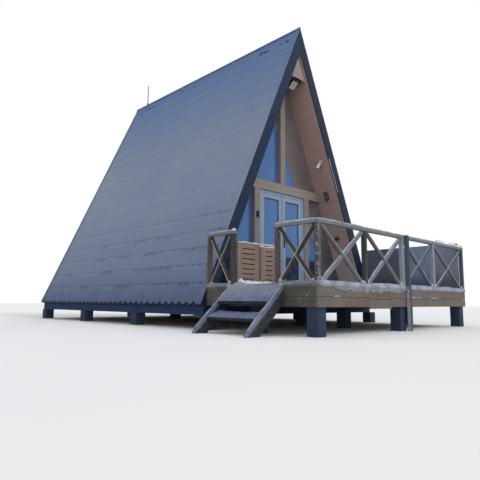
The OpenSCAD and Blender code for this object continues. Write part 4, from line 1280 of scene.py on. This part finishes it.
def bright_snow():
    """Sunlit snow: far end of the front rail, tops of the slatted screens, the gate post and the gate"""
    h = Round()
    far, z = RIGHT_X + 0.030, RAIL_TOP
    h.ridge((1.15, FRONT_Y, z), (far, FRONT_Y, z), 0.072, 0.050, 14.0, drape=0.008, rag=0.4)
    x0, x1, x2 = SCREEN_X[0] + 0.004, SCREEN_X[1], SCREEN_X[2] - 0.004
    h.ridge((x0, -0.023, DECK_Z + 0.78), (x2, -0.023, DECK_Z + 0.78), 0.044, 0.024, 15.0, rag=0.35)
    h.ridge((x1 + 0.01, -0.066, DECK_Z + 0.735), (x2, -0.066, DECK_Z + 0.735), 0.034, 0.022, 16.0, rag=0.4)
    h.blob((x1 + 0.04, -0.062, DECK_Z + 0.735), (0.05, 0.022, 0.035), 2.0)
    h.blob((LEFT_X, LEFT_Y[2] - 0.005, RAIL_TOP - 0.002), (0.036, 0.036, 0.042), 3.0)
    for i in range(12):
        y = GATE[1] - 0.07 - 0.055 * i
        x = DECK_X0 + RNG.uniform(0.07, 0.17)
        tall = 0.066 * exp(-i / 3.5) + RNG.uniform(0.018, 0.030)
        r = (RNG.uniform(0.04, 0.07), RNG.uniform(0.045, 0.075), tall)
        h.blob((x, y, DECK_Z + 0.020), r, i * 2.1, uneven=0.5)
    h.make("bright_snow", "snow_lit")


def brace_snow():
    """Ragged snow on the rising front bars, thin rime on the others, clumps where bars cross"""
    thick, thin, cream = Round(), Round(), Round()
    for k, b in enumerate(BRACES):
        a, c = b.a + b.d * 0.045, b.b - b.d * 0.045
        if b.bay in NEAR_BAYS and not b.falls:
            rim = b.up * BRACE_W / 2
            thick.ridge(a + rim, c + rim, 0.027, 0.014, 10.0 + k, 0.15, b.out, b.up, 0.6)
            continue
        heap = cream if b.bay == "left" else thin
        edge = -1 if b.bay == "left" and not b.falls else 1
        rim = b.out * (BRACE_T / 2 - 0.002) + b.up * edge * (BRACE_W / 2 - 0.006)
        heap.ridge(a + rim, c + rim, 0.015, 0.007, 10.0 + k, 0.22, b.up, b.out, 0.4)
    for k, b in enumerate(BRACES[::2]):
        mid = (b.a + b.b) / 2 + Vector((0, 0, 0.010))
        thick.blob(mid, (0.022, 0.018, 0.028) if abs(b.out.y) > 0.5 else (0.018, 0.024, 0.032), k)
    thick.make("brace_snow", "snow")
    thin.make("brace_rime", "snow")
    cream.make("brace_rime_left", "cream")


def foot_snow():
    """Clumps at the feet of the railing posts"""
    h = Round()
    for x in FRONT_X:
        for sgn in (-1, 1):
            if LEFT_X < x + sgn * 0.07 < RIGHT_X:
                r = (RNG.uniform(0.05, 0.075), 0.032, RNG.uniform(0.045, 0.075))
                h.blob((x + sgn * 0.055, FRONT_Y, DECK_Z + 0.04), r, x * 3 + sgn)
    for y in LEFT_Y:
        for sgn in (-1, 1):
            at = y + sgn * 0.06
            if FRONT_Y < at < -0.05 and not GATE[0] < at < GATE[1]:
                h.blob((LEFT_X, at, DECK_Z + 0.04), (0.032, 0.05, RNG.uniform(0.04, 0.07)), y * 3 + sgn)
    h.make("foot_snow", "snow")


def stage():
    me = bpy.data.meshes.new("stage_floor")
    me.from_pydata([(-60, -60, 0), (60, -60, 0), (60, 60, 0), (-60, 60, 0)], [], [(0, 1, 2, 3)])
    m = Mat(0.95, 0.1)
    m.col = m.blend(m.noise(0.5, 2), (0.895, 0.90, 0.91), (0.905, 0.91, 0.918), 0.3, 0.7)
    me.materials.append(m.done())
    link("stage_floor", me)


def world(level):
    """An even white sky at the given level, which the camera, mirrors and glass see as plain white"""
    w = bpy.data.worlds.new("studio")
    SCENE.world = w
    w.use_nodes = True
    t = Tree(w.node_tree)
    rays = "Camera", "Glossy", "Transmission"
    seen, glossy, through = (t.node("LightPath", out="Is %s Ray" % k) for k in rays)
    seen = seen.math("MAXIMUM", glossy).math("MAXIMUM", through)
    sky = w.node_tree.nodes["Background"].inputs
    t.put(sky["Strength"], t.band(seen, 0, 1, level, 1))
    t.put(sky["Color"], (1, 1, 1))


def soft_sun(name, energy, angle, towards):
    """A wide lamp; towards points from the object to the lamp"""
    sun = link(name, bpy.data.lights.new(name, "SUN"))
    sun.data.energy, sun.data.angle = energy, radians(angle)
    sun.rotation_mode = "QUATERNION"
    sun.rotation_quaternion = Vector(towards).to_track_quat("Z", "Y")


def camera(place, yaw, pitch, roll, lens):
    cam = link("camera", bpy.data.cameras.new("camera"))
    turn = Matrix.Rotation(-yaw, 4, "Z") @ Matrix.Rotation(pi / 2 + pitch, 4, "X")
    cam.matrix_world = Matrix.Translation(place) @ turn @ Matrix.Rotation(roll, 4, "Z")
    cam.data.sensor_width, cam.data.lens = 36, lens
    cam.data.clip_start, cam.data.clip_end = 0.05, 400
    SCENE.camera = cam


BRACES = brace_list()
for side in (-1, 1):
    tile_slope(side)
for build in (eaves, ridge, cabin, verges, posts, handrails, braces, deck_boards, fascias, slat_screens,
              treads, pole, floodlight, soffit_lamp, lantern, boxes, seals, deck_snow, stair_snow,
              rail_snow, bright_snow, brace_snow, foot_snow, stage):
    build()
world(level=0.84)
soft_sun("key", energy=0.9, angle=25, towards=(0.25, -0.70, 0.68))
soft_sun("fill", energy=0.5, angle=60, towards=(-0.77, -0.62, 0.08))
camera(place=(-7.5145, -5.9473, 0.4527), yaw=0.771440, pitch=0.127265, roll=0.0072556, lens=36.0206)
SCENE.view_settings.view_transform = "Standard"
